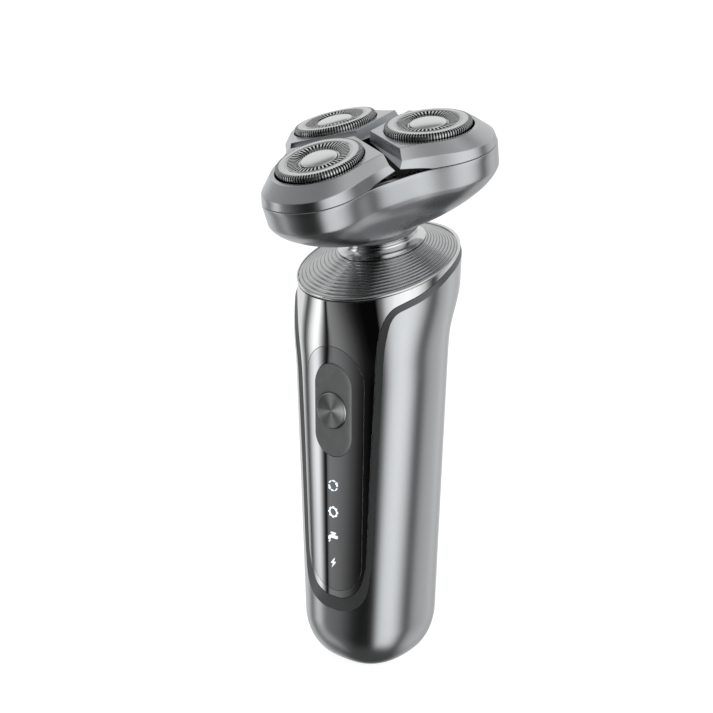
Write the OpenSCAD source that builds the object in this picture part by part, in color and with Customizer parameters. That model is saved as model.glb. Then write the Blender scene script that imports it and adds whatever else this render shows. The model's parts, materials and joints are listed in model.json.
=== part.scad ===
// Rotary electric shaver: an upright handle whose neck leans forward and carries
// a pull-off head with three floating, motor-driven cutters.
// Millimetres, +Z up, -Y is the front. The origin is on the flat foot, below the
// centre of the rim at the top of the handle.

/* [Handle] */
// Height of the rim's centre above the foot
rim_z = 118.5; // [110:0.5:126]
// Radius of the round rim at the top of the handle
rim_r = 23.2; // [22.8:0.1:23.4]
// Forward lean of the rim, in degrees
rim_lean = 20.5; // [18:0.5:22]
// Half width of the handle at the foot, before the foot is rounded off
foot_half_w = 17.7; // [17.2:0.1:18.4]
// Gain of half width for each millimetre of height
widening = 0.0433; // [0.03:0.001:0.05]
// Distance from the axis to the front of the handle
front_y = 20.2; // [19.6:0.1:21]
// Distance from the axis to the back of the handle
back_y = 17.6; // [17:0.1:18.5]
// Wall of the rear shell
wall = 1.8; // [1.4:0.1:2.2]

/* [Controls] */
// Height of the power button's centre
button_z = 78.9; // [74:0.5:82]
// Radius of the power button
button_r = 5.1; // [4.5:0.1:5.6]
// Depth that the power button can be pressed
button_travel = 0.5; // [0.3:0.1:0.6]
// Heights of the four indicator icons, from the top one down
icon_z = [56.8, 48.9, 41.3, 33.5]; // [25:0.1:62]

/* [Head] */
// Centre of the plane that the three cutters share
head_at = [0, -7.9, 153.6]; // [-10:0.1:160]
// Forward lean of the head and neck, in degrees
head_lean = 18.3; // [17:0.1:20]
// Distance from the head's axis to each cutter
cutter_pitch = 18.3; // [18.1:0.1:18.6]
// Outward tilt of each cutter, in degrees
cutter_tilt = 4.7; // [4:0.1:5.5]
// Radius of the opening that a cutter stands in
seat_r = 12; // [11.8:0.1:12.1]
// Depth that a cutter can be pressed into its frame
float_travel = 0.8; // [0.4:0.1:1]

/* [Drive] */
// Gear module
gear_module = 0.9; // [0.88:0.01:0.9]
// Teeth on the central drive gear
drive_teeth = 18; // [18:1:18]
// Teeth on each cutter gear
cutter_teeth = 22; // [22:1:22]
// Radial running clearance of the shafts
running = 0.05; // [0.03:0.01:0.08]

/* [Hidden] */
$fn = 64;
gap = 0.1;
foot_rise = 13.5;       // height over which the foot is rounded
foot_inset = 8.5;       // how far the rounding draws the foot in
section_n = 48;         // corners of one cross-section of the handle
panel_inset = 0.5;      // the front panel lies this far below the shell's skin
panel_t = 1.4;
lens_inset = 0.1;
lens_t = 1.5;
lens_low = [34.4, 9.4]; // height and radius of the lens's lower round end
lens_high = [86.8, 10.2];
pill_half_w = 6.3;      // button surround
pill_low = 71.75;
pill_high = 85.8;
surround_y = -20.35;
surround_back = -18.7;
button_play = 0.08;
button_face = 20.8;
button_flange = [17.3, 18.2];
button_chamfer = 0.3;
board_y = -12.4;
board_w = 16;
board_t = 1.2;
board_low = 28;
board_high = 90;
screw_x = 6;            // screws at the corners of the control board
screw_z = [31, 87];
switch_size = 6;
switch_t = 3.2;
slot_z = 21.5;          // slot for the charging plug
slot_half_w = 4.55;
slot_half_h = 1.7;
socket_y = 9.5;
seat_drop = 1.7;        // frame's top face below the cutter's rim
part_z = -8.3;          // parting plane between the cutter frames and the base
gear_z = -15.6;
gear_t = 3;
gear_pitch = gear_module * (drive_teeth + cutter_teeth) / 2;
drive_hub_r = 3.6;
drive_stub_r = 2;
cutter_foot_r = 1.5;
cutter_stem_r = 1.7;
hinge_x = 18.8;         // axis that a cutter frame rocks about
hinge_z = -7.4;
hinge_half = 14.2;      // outer and inner ends of its two pins
hinge_in = 11.4;
hinge_pin_r = 0.6;
ear_y = 11.85;          // ears of the gear cover that hold the pins
ear_t = 1.1;
neck_z = -28.45;        // the head lifts off here
neck_foot_z = -32.35;
foot_ring_r = 12.5;
neck_spigot_r = 9.5;    // fits the deck
head_spigot_r = 8;      // the head pushes onto it
seal_z = -25.7;
bush_r = 4.5;
collar_spigot_r = 9.65; // of the head's collar, in the bowl
shaft_r = 1;
coupling_r = 2;
coupling_hex = 4.4;     // across the corners
mount_z = -40.6;        // the motor hangs below this
motor_r = 6.5;
motor_h = 14;
tray_z = -17.55;
tray_t = 1.4;
cover_z = -11.7;
cover_t = 1.3;
plate_r = 17;           // the two plates that hold the gears
post_r = 2.5;
retainer_z = -6.2;
retainer_t = 0.7;
wheel_z = -2.6;         // inner cutter
wheel_t = 0.7;
blade_count = 9;
blade_tracks = [[9.5, 10.6], [6.7, 8.1]];
guard_ledge = 0.6;      // a cutter's foot reaches this far behind the seat's lip
angles = [270, 30, 150];

// ---------- curves and lofts ----------

function ease(t) = let (u = min(max(t, 0), 1)) u * u * (3 - 2 * u);
function spow(v, e) = sign(v) * pow(abs(v), e);

// Catmull-Rom point between p[i] and p[i + 1]
function spline_at(p, i, t) =
    let (a = p[max(i - 1, 0)], b = p[i], c = p[i + 1], d = p[min(i + 2, len(p) - 1)])
    0.5 * (2 * b + (c - a) * t + (2 * a - 5 * b + 4 * c - d) * t * t
        + (3 * b - a - 3 * c + d) * t * t * t);
function spline(p, steps) = concat(
    [for (i = [0:len(p) - 2], k = [0:steps - 1]) spline_at(p, i, k / steps)], [p[len(p) - 1]]);

// Solid through a stack of rings with the same number of corners, lowest ring first
module loft(rings) {
    n = len(rings[0]);
    top = (len(rings) - 1) * n;
    polyhedron(
        points = [for (r = rings, p = r) p],
        faces = concat(
            [[for (i = [0:n - 1]) i]],
            [[for (i = [n - 1:-1:0]) top + i]],
            [for (k = [0:len(rings) - 2], i = [0:n - 1])
                let (j = (i + 1) % n) [k * n + i, (k + 1) * n + i, (k + 1) * n + j]],
            [for (k = [0:len(rings) - 2], i = [0:n - 1])
                let (j = (i + 1) % n) [k * n + i, (k + 1) * n + j, k * n + j]]));
}

// ---------- the handle's outer form ----------

// The section is a superellipse in front, an ellipse behind, and nearly round at the rim.
function foot_round(z) =
    let (t = min(max(1 - z / foot_rise, 0), 1)) foot_inset * (1 - sqrt(1 - t * t));
function half_w(z) = foot_half_w + widening * z + 0.6 * ease((z - 92) / 17) - foot_round(z);
function front_d(z) = front_y + 2 * ease((z - 99) / 11.5) - foot_round(z);
function back_d(z) = back_y - 0.014 * (z - 50) + 7.2 * ease((z - 98) / 14.5) - foot_round(z);
function squareness(z) = 2.7 - 0.7 * ease((z - 99) / 11.5);

function section(z, inset) = [for (i = [0:section_n - 1])
    let (a = 360 * i / section_n, c = cos(a), s = sin(a), n = s < 0 ? squareness(z) : 2,
        d = s < 0 ? front_d(z) : back_d(z))
    [(half_w(z) - inset) * spow(c, 2 / n), (d - inset) * spow(s, 2 / n), z]];

module handle_form(inset) {
    levels = concat([inset], [for (z = [0.7, 2, 4.5, 8, 13.5, 50, 92, 97, 101, 105, 109, 113, 130])
        if (z > inset + 0.3) z]);
    loft([for (z = levels) section(z, inset)]);
}

// Everything more than d below the rim's plane
module below_rim(d) {
    translate([0, 0, rim_z]) rotate([rim_lean, 0, 0])
        translate([-40, -60, -200 - d]) cube([80, 120, 200]);
}
module in_rim_frame() {
    translate([0, 0, rim_z]) rotate([rim_lean, 0, 0]) children();
}

// Edge of the front panel seen from the front, [x, z], up to the widest line of the
// handle, and from there seen from the side, [y, z]
panel_front = [[0, 23.1], [3.8, 23.8], [6.7, 25.1], [9, 27.9], [10.4, 31.8], [11, 38],
    [12.2, 67], [13.5, 95], [14.2, 100.4], [15.3, 105.2], [16.9, 108.1], [18.9, 109.9],
    [20.9, 111.4], [22.4, 113.3], [23.4, 116.5], [26, 124]];
panel_side = [[-0.01, 116.5], [6, 119.1], [13, 122], [24, 126.5], [34, 130.5]];

// The line p moved sideways by d, to the right of its direction
function nudged(p, d) = let (n = len(p)) [for (i = [0:n - 1])
    let (t = p[min(i + 1, n - 1)] - p[max(i - 1, 0)]) p[i] + [t[1], -t[0]] * d / norm(t)];

// Everything over the front panel's region, grown by "grow" millimetres
module panel_region(grow) {
    half = nudged(spline(panel_front, 2), grow);
    low = [0, panel_front[0][1] - grow];
    right = concat([low], [for (i = [1:len(half) - 1]) half[i]]);
    left = [for (i = [len(right) - 1:-1:1]) [-right[i][0], right[i][1]]];
    along_front(0) linear_extrude(height = 40)
        polygon(concat(right, [[34, 140], [-34, 140]], left));
    side = nudged(panel_side, grow);
    translate([-40, 0, 0]) rotate([90, 0, 90]) linear_extrude(height = 80)
        polygon(concat(side, [[34, 140], [-0.01, 140]]));
}

// Prism along Y through the front, over a tapered pill: [z, radius] at each end
module front_pill(low, high, grow) {
    rotate([90, 0, 0]) linear_extrude(height = 30) hull() {
        translate([0, low[0]]) circle(r = low[1] + grow, $fn = 32);
        translate([0, high[0]]) circle(r = high[1] + grow, $fn = 32);
    }
}

module rear_shell() {
    color("silver") difference() {
        intersection() {
            handle_form(0);
            below_rim(0.9);
        }
        handle_form(wall);
        panel_region(0);
        charge_slot(slot_half_w, slot_half_h);
    }
}

module front_panel() {
    color("dimgray") difference() {
        intersection() {
            handle_form(panel_inset);
            below_rim(0.6);
            panel_region(-gap);
        }
        handle_form(panel_inset + panel_t);
        front_pill(lens_low, lens_high, gap);
    }
}

module display_lens() {
    color([0.08, 0.08, 0.09]) difference() {
        intersection() {
            handle_form(lens_inset);
            front_pill(lens_low, lens_high, 0);
        }
        handle_form(lens_inset + lens_t);
        front_pill([pill_low, pill_half_w], [pill_high, pill_half_w], gap);
    }
}

// ---------- controls behind the front panel ----------

module along_front(y) {
    translate([0, y, 0]) rotate([90, 0, 0]) children();
}

module button_surround() {
    color("gray") difference() {
        along_front(surround_back) linear_extrude(height = surround_back - surround_y)
            hull() for (z = [pill_low, pill_high]) translate([0, z]) circle(r = pill_half_w);
        along_front(-10) translate([0, button_z, 0])
            cylinder(r = button_r + button_play, h = 20);
    }
}

module power_button() {
    color("lightgray") along_front(0) translate([0, button_z, 0]) {
        translate([0, 0, button_flange[0]])
            cylinder(r = button_r + 0.8, h = button_flange[1] - button_flange[0]);
        translate([0, 0, button_flange[1]])
            cylinder(r = button_r, h = button_face - button_chamfer - button_flange[1]);
        translate([0, 0, button_face - button_chamfer])
            cylinder(r1 = button_r, r2 = button_r - button_chamfer, h = button_chamfer);
    }
}

module dashed_ring(r, w, dashes, share) {
    for (k = [0:dashes - 1]) rotate(360 * k / dashes)
        polygon([for (s = [0, 1]) each [for (i = [0:3])
            let (a = share * 360 / dashes * (s == 0 ? i : 3 - i) / 3, q = r - s * w)
            [q * cos(a), q * sin(a)]]]);
}

// Indicator icons, drawn flat: boost, clean, rinse and charge
module icon(k) {
    if (k == 0) dashed_ring(1.6, 0.35, 6, 0.66);
    if (k == 1) {
        difference() {
            circle(r = 1.35, $fn = 24);
            circle(r = 1.0, $fn = 24);
        }
        dashed_ring(1.7, 0.36, 8, 0.45);
    }
    if (k == 2) {
        translate([-1.5, 0]) square([2.6, 0.7]);
        translate([-1.5, -1.3]) square([0.7, 1.31]);
        translate([-0.25, 0.69]) square([0.6, 0.6]);
        translate([-0.8, 1.28]) square([1.7, 0.4]);
    }
    if (k == 3) polygon([[0.5, 1.5], [-0.8, -0.25], [0, -0.25], [-0.5, -1.5], [0.8, 0.25],
        [0, 0.25]]);
}

module icon_windows() {
    color("white") for (k = [0:3]) along_front(-front_y + lens_inset)
        translate([0, icon_z[k], 0]) linear_extrude(height = 0.06) icon(k);
}

module at_board_screws(y) {
    for (x = [-screw_x, screw_x], z = screw_z) along_front(y) translate([x, z, 0]) children();
}

module control_board() {
    color("darkgreen") difference() {
        translate([-board_w / 2, board_y, board_low])
            cube([board_w, board_t, board_high - board_low]);
        at_board_screws(-10) cylinder(r = 1.1, h = 5);
    }
}

module indicator_leds() {
    color("white") for (z = icon_z) translate([-0.8, board_y - 0.7, z - 0.8])
        cube([1.6, 0.7, 1.6]);
}

module tact_switch() {
    color("gainsboro") {
        translate([-switch_size / 2, board_y - switch_t, button_z - switch_size / 2])
            cube([switch_size, switch_t, switch_size]);
        along_front(board_y - switch_t) translate([0, button_z, 0]) cylinder(r = 1.7, h = 1.1);
    }
}

module board_screws() {
    color("silver") at_board_screws(board_y) {
        cylinder(r = 1.9, h = 1.1);
        translate([0, 0, -5]) cylinder(r = 1, h = 5.01);
    }
}

// ---------- inside the handle ----------

chassis_r = 13.4;
chassis_low = 15;
chassis_high = 96;
chassis_wall = 1.6;
rail_z = [29, 85];      // foot of each cross rail
rail_y = -8;
rail_t = 3;
rail_h = 4;
cell_y = 1.6;
cell_z = 33.4;
cell_r = 9;
cell_h = 50;
cell_cap = 0.8;
tab_w = 5;
tab_t = 0.28;

module inner_chassis() {
    color("darkslategray") difference() {
        union() {
            translate([0, 0, chassis_low]) difference() {
                cylinder(r = chassis_r, h = chassis_high - chassis_low);
                translate([0, 0, 2]) cylinder(r = chassis_r - chassis_wall, h = 100);
                translate([-20, -30, 2]) cube([40, 30 + rail_y, 100]);
            }
            at_board_screws(rail_y + rail_t) cylinder(r = 2.2, h = -board_y - board_t - 5);
            for (z = rail_z) translate([-12, rail_y, z]) cube([24, rail_t, rail_h]);
        }
        at_board_screws(rail_y + rail_t + 1) cylinder(r = 1, h = 15);
        charge_slot(slot_half_w + 0.45, slot_half_h + 0.7);
    }
}

module battery_cell() {
    color("steelblue") translate([0, cell_y, cell_z]) {
        cylinder(r = cell_r, h = cell_h);
        translate([0, 0, cell_h]) cylinder(r = 3, h = cell_cap);
    }
}

module battery_tabs() {
    color("silver") for (z = [cell_z - tab_t - 0.02, cell_z + cell_h + cell_cap + 0.02])
        translate([-tab_w / 2, cell_y - 6, z]) cube([tab_w, 8, tab_t]);
}

// Slot for the charging plug, low on the back
module charge_slot(half_w, half_h) {
    hull() for (x = [-1, 1]) translate([x * (half_w - half_h), 0, slot_z])
        rotate([-90, 0, 0]) cylinder(r = half_h, h = 30, $fn = 32);
}

module socket_bore(inset, y, depth) {
    hull() for (x = [-1, 1]) translate([x * (slot_half_w - slot_half_h), y, slot_z])
        rotate([-90, 0, 0]) cylinder(r = slot_half_h - inset, h = depth, $fn = 32);
}

module charge_socket() {
    color("dimgray") difference() {
        socket_bore(0.05, socket_y, 8);
        socket_bore(0.35, socket_y + 1.5, 9);
    }
    color("black") translate([-2.2, socket_y + 1.5, slot_z - 0.3]) cube([4.4, 5.2, 0.6]);
}

// ---------- top of the handle ----------

module in_head_frame() {
    translate(head_at) rotate([head_lean, 0, 0]) children();
}

// A circle of corners about the rim's or the head's axis, in the row frame
function tilted(p, lean, at) =
    at + [p[0], p[1] * cos(lean) - p[2] * sin(lean), p[1] * sin(lean) + p[2] * cos(lean)];
function rim_circle(r, z) = [for (i = [0:section_n - 1]) let (a = 360 * i / section_n)
    tilted([r * cos(a), r * sin(a), z], rim_lean, [0, 0, rim_z])];
function neck_circle(r, z) = [for (i = [0:section_n - 1]) let (a = 360 * i / section_n)
    tilted([r * cos(a), r * sin(a), z], head_lean, head_at)];

deck_r = rim_r - 0.9;

module top_deck() {
    color("gray") difference() {
        loft([rim_circle(deck_r - 1.6, -2.6), rim_circle(deck_r - 1.5, -0.56),
            rim_circle(deck_r, -0.5), rim_circle(deck_r, -0.1),
            neck_circle(foot_ring_r + 0.3, neck_foot_z - 0.05)]);
        loft([rim_circle(deck_r - 3.1, -3), rim_circle(deck_r - 3.1, -1.6),
            neck_circle(foot_ring_r - 1, neck_foot_z - 1.8)]);
        in_head_frame() translate([0, 0, neck_foot_z - 5])
            cylinder(r = neck_spigot_r + 0.1, h = 8);
    }
}

module rim_ring() {
    color("white") in_rim_frame() rotate_extrude($fn = 96)
        polygon([[deck_r + 0.02, -0.5], [rim_r, -0.5], [rim_r, -0.1], [rim_r - 0.25, 0.15],
            [deck_r + 0.02, 0.15]]);
}

module deck_gasket() {
    color("black") in_rim_frame() translate([0, 0, -1.9]) rotate_extrude($fn = 96)
        translate([deck_r - 1.26, 0]) circle(r = 0.22, $fn = 24);
}

module neck_collar() {
    color("white") in_head_frame() difference() {
        rotate_extrude($fn = 96) polygon(concat(
            [[0, neck_foot_z - 6], [neck_spigot_r, neck_foot_z - 6],
                [neck_spigot_r, neck_foot_z], [foot_ring_r, neck_foot_z]],
            [for (p = spline([[foot_ring_r, neck_foot_z + 0.3], [11.3, neck_foot_z + 0.9],
                [10.4, -30.4], [10.5, -29.3], [11.2, neck_z]], 4)) p],
            [[head_spigot_r, neck_z], [head_spigot_r, seal_z - 0.6],
                [head_spigot_r - 0.9, seal_z - 0.6], [head_spigot_r - 0.9, seal_z + 0.6],
                [head_spigot_r, seal_z + 0.6], [head_spigot_r, -23.4],
                [head_spigot_r - 0.4, -23], [0, -23]]));
        translate([0, 0, -29.5]) cylinder(r = 4.8, h = 10);
        translate([0, 0, -45]) cylinder(r = bush_r, h = 20);
    }
}

module neck_seal() {
    color("black") in_head_frame() translate([0, 0, seal_z]) rotate_extrude()
        translate([head_spigot_r - 0.5, 0]) circle(r = 0.4, $fn = 24);
}

module neck_bush() {
    color("goldenrod") in_head_frame() translate([0, 0, -38.3]) difference() {
        cylinder(r = bush_r, h = 8.8);
        translate([0, 0, -1]) cylinder(r = coupling_r + running, h = 12);
    }
}

module motor_mount() {
    color("darkslategray") in_head_frame() difference() {
        translate([0, 0, mount_z]) cylinder(r = neck_spigot_r, h = 2.2);
        translate([0, 0, mount_z - 1]) cylinder(r = 2.6, h = 5);
    }
}

module drive_motor() {
    color("lightgray") in_head_frame() difference() {
        union() {
            translate([0, 0, mount_z - motor_h]) cylinder(r = motor_r, h = motor_h);
            translate([0, 0, mount_z - 0.1]) cylinder(r = 2.5, h = 1);
        }
        translate([0, 0, mount_z - motor_h - 1]) cylinder(r = shaft_r + running, h = 20);
    }
}

module motor_shaft() {
    color("silver") in_head_frame() translate([0, 0, mount_z - motor_h - 0.8])
        cylinder(r = shaft_r, h = 22);
}

module drive_coupling() {
    color("dimgray") in_head_frame() {
        difference() {
            translate([0, 0, -39]) cylinder(r = coupling_r, h = 10.4);
            translate([0, 0, -40]) cylinder(r = shaft_r, h = 6.6);
        }
        translate([0, 0, -28.61]) cylinder(d = coupling_hex, h = 6, $fn = 6);
    }
}

// ---------- head ----------

// One third of a three-lobed outline: round the lobe's end as far as "spread" degrees each
// side, and through the points "via" to a corner
function lobe(r, spread, via, corner) =
    let (tip = [for (k = [-1:3]) let (a = spread * k / 3)
            [cutter_pitch + r * cos(a), r * sin(a)]],
        half = spline(concat(tip, via, [corner]), 2), n = len(half))
    concat([for (i = [n - 1:-1:3]) [half[i][0], -half[i][1]]], [for (i = [2:n - 1]) half[i]]);
function turn(p, a) = [p[0] * cos(a) - p[1] * sin(a), p[0] * sin(a) + p[1] * cos(a)];

lobe_r = 17.4;
lobe_spread = 38;
waist = [10.75, 18.6];
flank = [[25.6, 13.8], [19.3, 14.1], [15.3, 15.5]];
base_third = lobe(lobe_r, lobe_spread, flank, waist);
base_outline = [for (a = angles, i = [0:len(base_third) - 2]) turn(base_third[i], a)];

// The base narrows from the full outline (share 1) to the collar's circle (share 0)
base_collar_r = 12;
function base_ring(z, share, inset) = [for (p = base_outline)
    let (r = base_collar_r + (norm(p) - base_collar_r) * share - inset)
    [p[0] * r / norm(p), p[1] * r / norm(p), z]];
bowl_z = -27.1;
bowl = [[bowl_z, 0], [-24.7, 0.33], [-21.8, 0.6], [-18.6, 0.82], [-16.2, 0.93],
    [-14.5, 0.97], [part_z, 1]];

screw_posts = [for (a = angles) turn([14.2, 0], a + 60)];

module head_base() {
    color("silver") in_head_frame() difference() {
        union() {
            difference() {
                loft([for (b = bowl) base_ring(b[0], b[1], 0)]);
                loft([base_ring(-24.2, 0.22, 1.5), base_ring(-21.2, 0.56, 1.5),
                    base_ring(-18, 0.8, 1.6), base_ring(-14.5, 0.96, 1.6),
                    base_ring(part_z + 1, 1, 1.6)]);
            }
            for (p = screw_posts) translate([p[0], p[1], -22.6]) cylinder(r = post_r, h = 5);
        }
        translate([0, 0, -30]) cylinder(r = collar_spigot_r + 0.05, h = 12);
        for (p = screw_posts) translate([p[0], p[1], -21.6]) cylinder(r = 1, h = 8);
    }
}

module head_collar() {
    color("gray") in_head_frame() difference() {
        union() {
            translate([0, 0, neck_z + 0.05]) cylinder(r = 11.3, h = bowl_z - neck_z - 0.1);
            translate([0, 0, bowl_z - 0.06]) cylinder(r = collar_spigot_r, h = 5.2);
        }
        translate([0, 0, -30]) cylinder(r = head_spigot_r + running, h = 12);
    }
}

// Involute gear outline centred on a tooth at angle 0
function involute(base_r, r) = let (a = acos(min(base_r / r, 1))) tan(a) * 180 / PI - a;
function gear_points(teeth) =
    let (pitch_r = gear_module * teeth / 2, base_r = pitch_r * cos(20),
        tip_r = pitch_r + gear_module * 0.92, root_r = pitch_r - gear_module * 1.2,
        half = 90 / teeth - 0.05 / pitch_r * 180 / PI + involute(base_r, pitch_r),
        rs = [for (k = [0:4]) let (low = max(base_r, root_r)) low + (tip_r - low) * k / 4])
    [for (t = [0:teeth - 1]) let (a = 360 * t / teeth) each concat(
        [[root_r, a - half]], [for (r = rs) [r, a - half + involute(base_r, r)]],
        [for (k = [4:-1:0]) [rs[k], a + half - involute(base_r, rs[k])]],
        [[root_r, a + half]])];
module gear(teeth, t) {
    linear_extrude(height = t)
        polygon([for (p = gear_points(teeth)) [p[0] * cos(p[1]), p[0] * sin(p[1])]]);
}

module drive_gear() {
    color("ivory") in_head_frame() difference() {
        union() {
            translate([0, 0, gear_z]) gear(drive_teeth, gear_t);
            translate([0, 0, gear_z + gear_t - 0.01]) cylinder(r = drive_stub_r, h = 1.8);
            translate([0, 0, -27.9]) cylinder(r = drive_hub_r, h = 27.9 + gear_z + 0.01);
        }
        translate([0, 0, -28.5]) cylinder(d = coupling_hex + 0.35, h = 7, $fn = 6);
    }
}

// A gap of the cutter gear faces the drive gear's tooth
function mesh_turn(a) =
    let (u = a * drive_teeth / 360 - floor(a * drive_teeth / 360))
    a + 180 + (u - 0.5) * 360 / cutter_teeth;

module cutter_gear(a) {
    color("ivory") in_head_frame() rotate(a) translate([gear_pitch, 0, 0]) {
        rotate(mesh_turn(a) - a) translate([0, 0, gear_z]) gear(cutter_teeth, gear_t);
        translate([0, 0, gear_z - 1.9]) cylinder(r = cutter_foot_r, h = 1.91);
        translate([0, 0, gear_z + gear_t - 0.01]) cylinder(r = cutter_stem_r, h = 5.2);
        translate([-1.3, -1.3, -7.5]) cube([2.6, 2.6, 3.3]);
    }
}
module cutter_gear_a() { cutter_gear(angles[0]); }
module cutter_gear_b() { cutter_gear(angles[1]); }
module cutter_gear_c() { cutter_gear(angles[2]); }

module gear_plate(arm_r, t) {
    cylinder(r = plate_r, h = t);
    for (a = angles) rotate(a) translate([gear_pitch, 0, 0]) cylinder(r = arm_r, h = t);
}

module gear_tray() {
    color("dimgray") in_head_frame() translate([0, 0, tray_z]) difference() {
        gear_plate(4.5, tray_t);
        translate([0, 0, -1]) cylinder(r = drive_hub_r + running, h = 4);
        for (a = angles) rotate(a) translate([gear_pitch, 0, -1])
            cylinder(r = cutter_foot_r + running, h = 4);
        for (p = screw_posts) translate([p[0], p[1], -1]) cylinder(r = 1.2, h = 4);
    }
}

module gear_cover() {
    color("dimgray") in_head_frame() difference() {
        union() {
            translate([0, 0, cover_z]) gear_plate(6, cover_t);
            for (a = angles) rotate(a) {
                for (s = [-1, 1]) translate([hinge_x - 2, s * ear_y - ear_t / 2, cover_z])
                    cube([3.2, ear_t, 5]);
                translate([hinge_x - 4, -ear_y - ear_t / 2, cover_z])
                    cube([4, 2 * ear_y + ear_t, cover_t]);
            }
            for (p = screw_posts) translate([p[0], p[1], tray_z + tray_t + 0.01])
                cylinder(r = post_r, h = 5);
        }
        translate([0, 0, cover_z - 1.3]) cylinder(r = drive_stub_r + running, h = 4);
        for (a = angles) rotate(a) {
            translate([gear_pitch, 0, cover_z - 1.3])
                cylinder(r = cutter_stem_r + running, h = 4);
            translate([hinge_x, 20, hinge_z]) rotate([90, 0, 0])
                cylinder(r = hinge_pin_r, h = 40);
        }
        for (p = screw_posts) translate([p[0], p[1], -17]) cylinder(r = 1.2, h = 8);
    }
}

module head_screws() {
    color("silver") in_head_frame() for (p = screw_posts) translate([p[0], p[1], 0]) {
        translate([0, 0, -10.39]) cylinder(r = 2, h = 1.2);
        translate([0, 0, -21.4]) cylinder(r = 1, h = 11.02);
    }
}

module hinge_pins() {
    color("silver") in_head_frame() for (a = angles) rotate(a) for (s = [-1, 1])
        translate([hinge_x, s > 0 ? hinge_half : -hinge_in, hinge_z]) rotate([90, 0, 0])
            cylinder(r = hinge_pin_r, h = hinge_half - hinge_in);
}

// ---------- cutter frames and cutters ----------

module in_cutter_frame(a) {
    in_head_frame() rotate(a) translate([cutter_pitch, 0, 0]) rotate([0, cutter_tilt, 0])
        children();
}

// Frame outline in the head's frame: inner point, then the lobe, "side" from the neighbour
function frame_ring(drop, side, corner_r, r, spread, via) =
    let (a = 60 - asin(side / corner_r),
        outline = concat([[side / sin(60), 0]],
            lobe(r, spread, via, [corner_r * cos(a), corner_r * sin(a)])))
    [for (p = outline)
        [p[0], p[1], -drop / cos(cutter_tilt) - (p[0] - cutter_pitch) * tan(cutter_tilt)]];

bevel_drop = seat_drop + 3;
bevel_r = 16.9;
bevel_flank = [[25.4, 13.6], [19.2, 14.5], [15.2, 15.6]];
top_r = 13.4;
top_flank = [[21.3, 13.05], [17.4, 13.9], [14.4, 14.7]];

module cutter_frame(a) {
    color("silver") difference() {
        in_head_frame() rotate(a) difference() {
            loft([frame_ring(9.6, 0.4, 21.5, lobe_r, lobe_spread, flank),
                frame_ring(6.8, 0.5, 21.4, lobe_r - 0.1, lobe_spread, flank),
                frame_ring(bevel_drop, 1.8, 20.2, bevel_r, lobe_spread, bevel_flank),
                frame_ring(seat_drop, 2.35, 19.4, top_r, 60, top_flank)]);
            translate([-10, -30, -20]) cube([60, 60, 20 + part_z + 0.1]);
            translate([hinge_x + 0.5, 0, part_z + 0.1]) rotate([0, 15.5, 0])
                translate([-40, -30, -10]) cube([40, 60, 10]);
            translate([hinge_x, 20, hinge_z]) rotate([90, 0, 0])
                cylinder(r = hinge_pin_r + running, h = 40);
        }
        in_cutter_frame(a) {
            translate([0, 0, -4]) cylinder(r = seat_r, h = 5);
            translate([0, 0, -12]) cylinder(r = seat_r + guard_ledge + 0.2, h = 8.8);
        }
    }
}
module cutter_frame_a() { cutter_frame(angles[0]); }
module cutter_frame_b() { cutter_frame(angles[1]); }
module cutter_frame_c() { cutter_frame(angles[2]); }

module retainer(a) {
    color("dimgray") in_cutter_frame(a) translate([0, 0, retainer_z]) difference() {
        cylinder(r = seat_r + guard_ledge + 0.15, h = retainer_t);
        translate([0, 0, -1]) cylinder(r = 10.4, h = 3);
    }
}
module retainer_a() { retainer(angles[0]); }
module retainer_b() { retainer(angles[1]); }
module retainer_c() { retainer(angles[2]); }

// Outer cutter: a cup with two raised tracks and a ledge for the centre cap
module guard(a) {
    color("gainsboro") in_cutter_frame(a) rotate_extrude($fn = 96)
        polygon([[seat_r - 0.9, -4.1], [seat_r + guard_ledge, -4.1],
            [seat_r + guard_ledge, -3.25],
            [seat_r - 0.15, -3.25], [seat_r - 0.15, -0.75], [seat_r - 0.75, 0], [9.2, 0],
            [8.95, -0.35], [8.7, -0.35], [8.45, 0], [6.3, 0], [5.8, -0.6], [5.1, -0.6],
            [5.1, -0.75], [4.2, -0.75], [4.2, -1.1], [6.2, -1.1], [6.5, -0.5],
            [8.35, -0.5], [8.6, -0.8], [9.05, -0.8], [9.3, -0.5], [seat_r - 1, -0.5],
            [seat_r - 0.7, -0.9], [seat_r - 0.7, -3.6], [seat_r - 0.9, -3.6]]);
}
module guard_a() { guard(angles[0]); }
module guard_b() { guard(angles[1]); }
module guard_c() { guard(angles[2]); }

module guard_cap(a) {
    color("lightgray") in_cutter_frame(a) rotate_extrude()
        polygon(concat([[0, -0.73], [5, -0.73], [5, -0.1]],
            [for (k = [1:6]) [5 * cos(15 * k), -0.1 + 0.5 * sin(15 * k)]]));
}
module guard_cap_a() { guard_cap(angles[0]); }
module guard_cap_b() { guard_cap(angles[1]); }
module guard_cap_c() { guard_cap(angles[2]); }

// Inner cutter: a spinning wheel with a ring of lifted blades under each track
module blade(a) {
    color("silver") in_cutter_frame(a) {
        difference() {
            union() {
                translate([0, 0, wheel_z]) cylinder(r = 10.6, h = wheel_t);
                translate([0, 0, -6.2]) cylinder(r = 3.2, h = 4.95);
            }
            translate([-1.75, -1.75, -6.3]) cube([3.5, 3.5, 4.5]);
        }
        for (k = [0:blade_count - 1]) rotate(360 * k / blade_count)
            for (track = blade_tracks) translate([track[0], -0.25, wheel_z + wheel_t - 0.01])
                cube([track[1] - track[0], 0.5, 1.36]);
    }
}
module blade_a() { blade(angles[0]); }
module blade_b() { blade(angles[1]); }
module blade_c() { blade(angles[2]); }

// ---------- the assembly ----------

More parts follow.
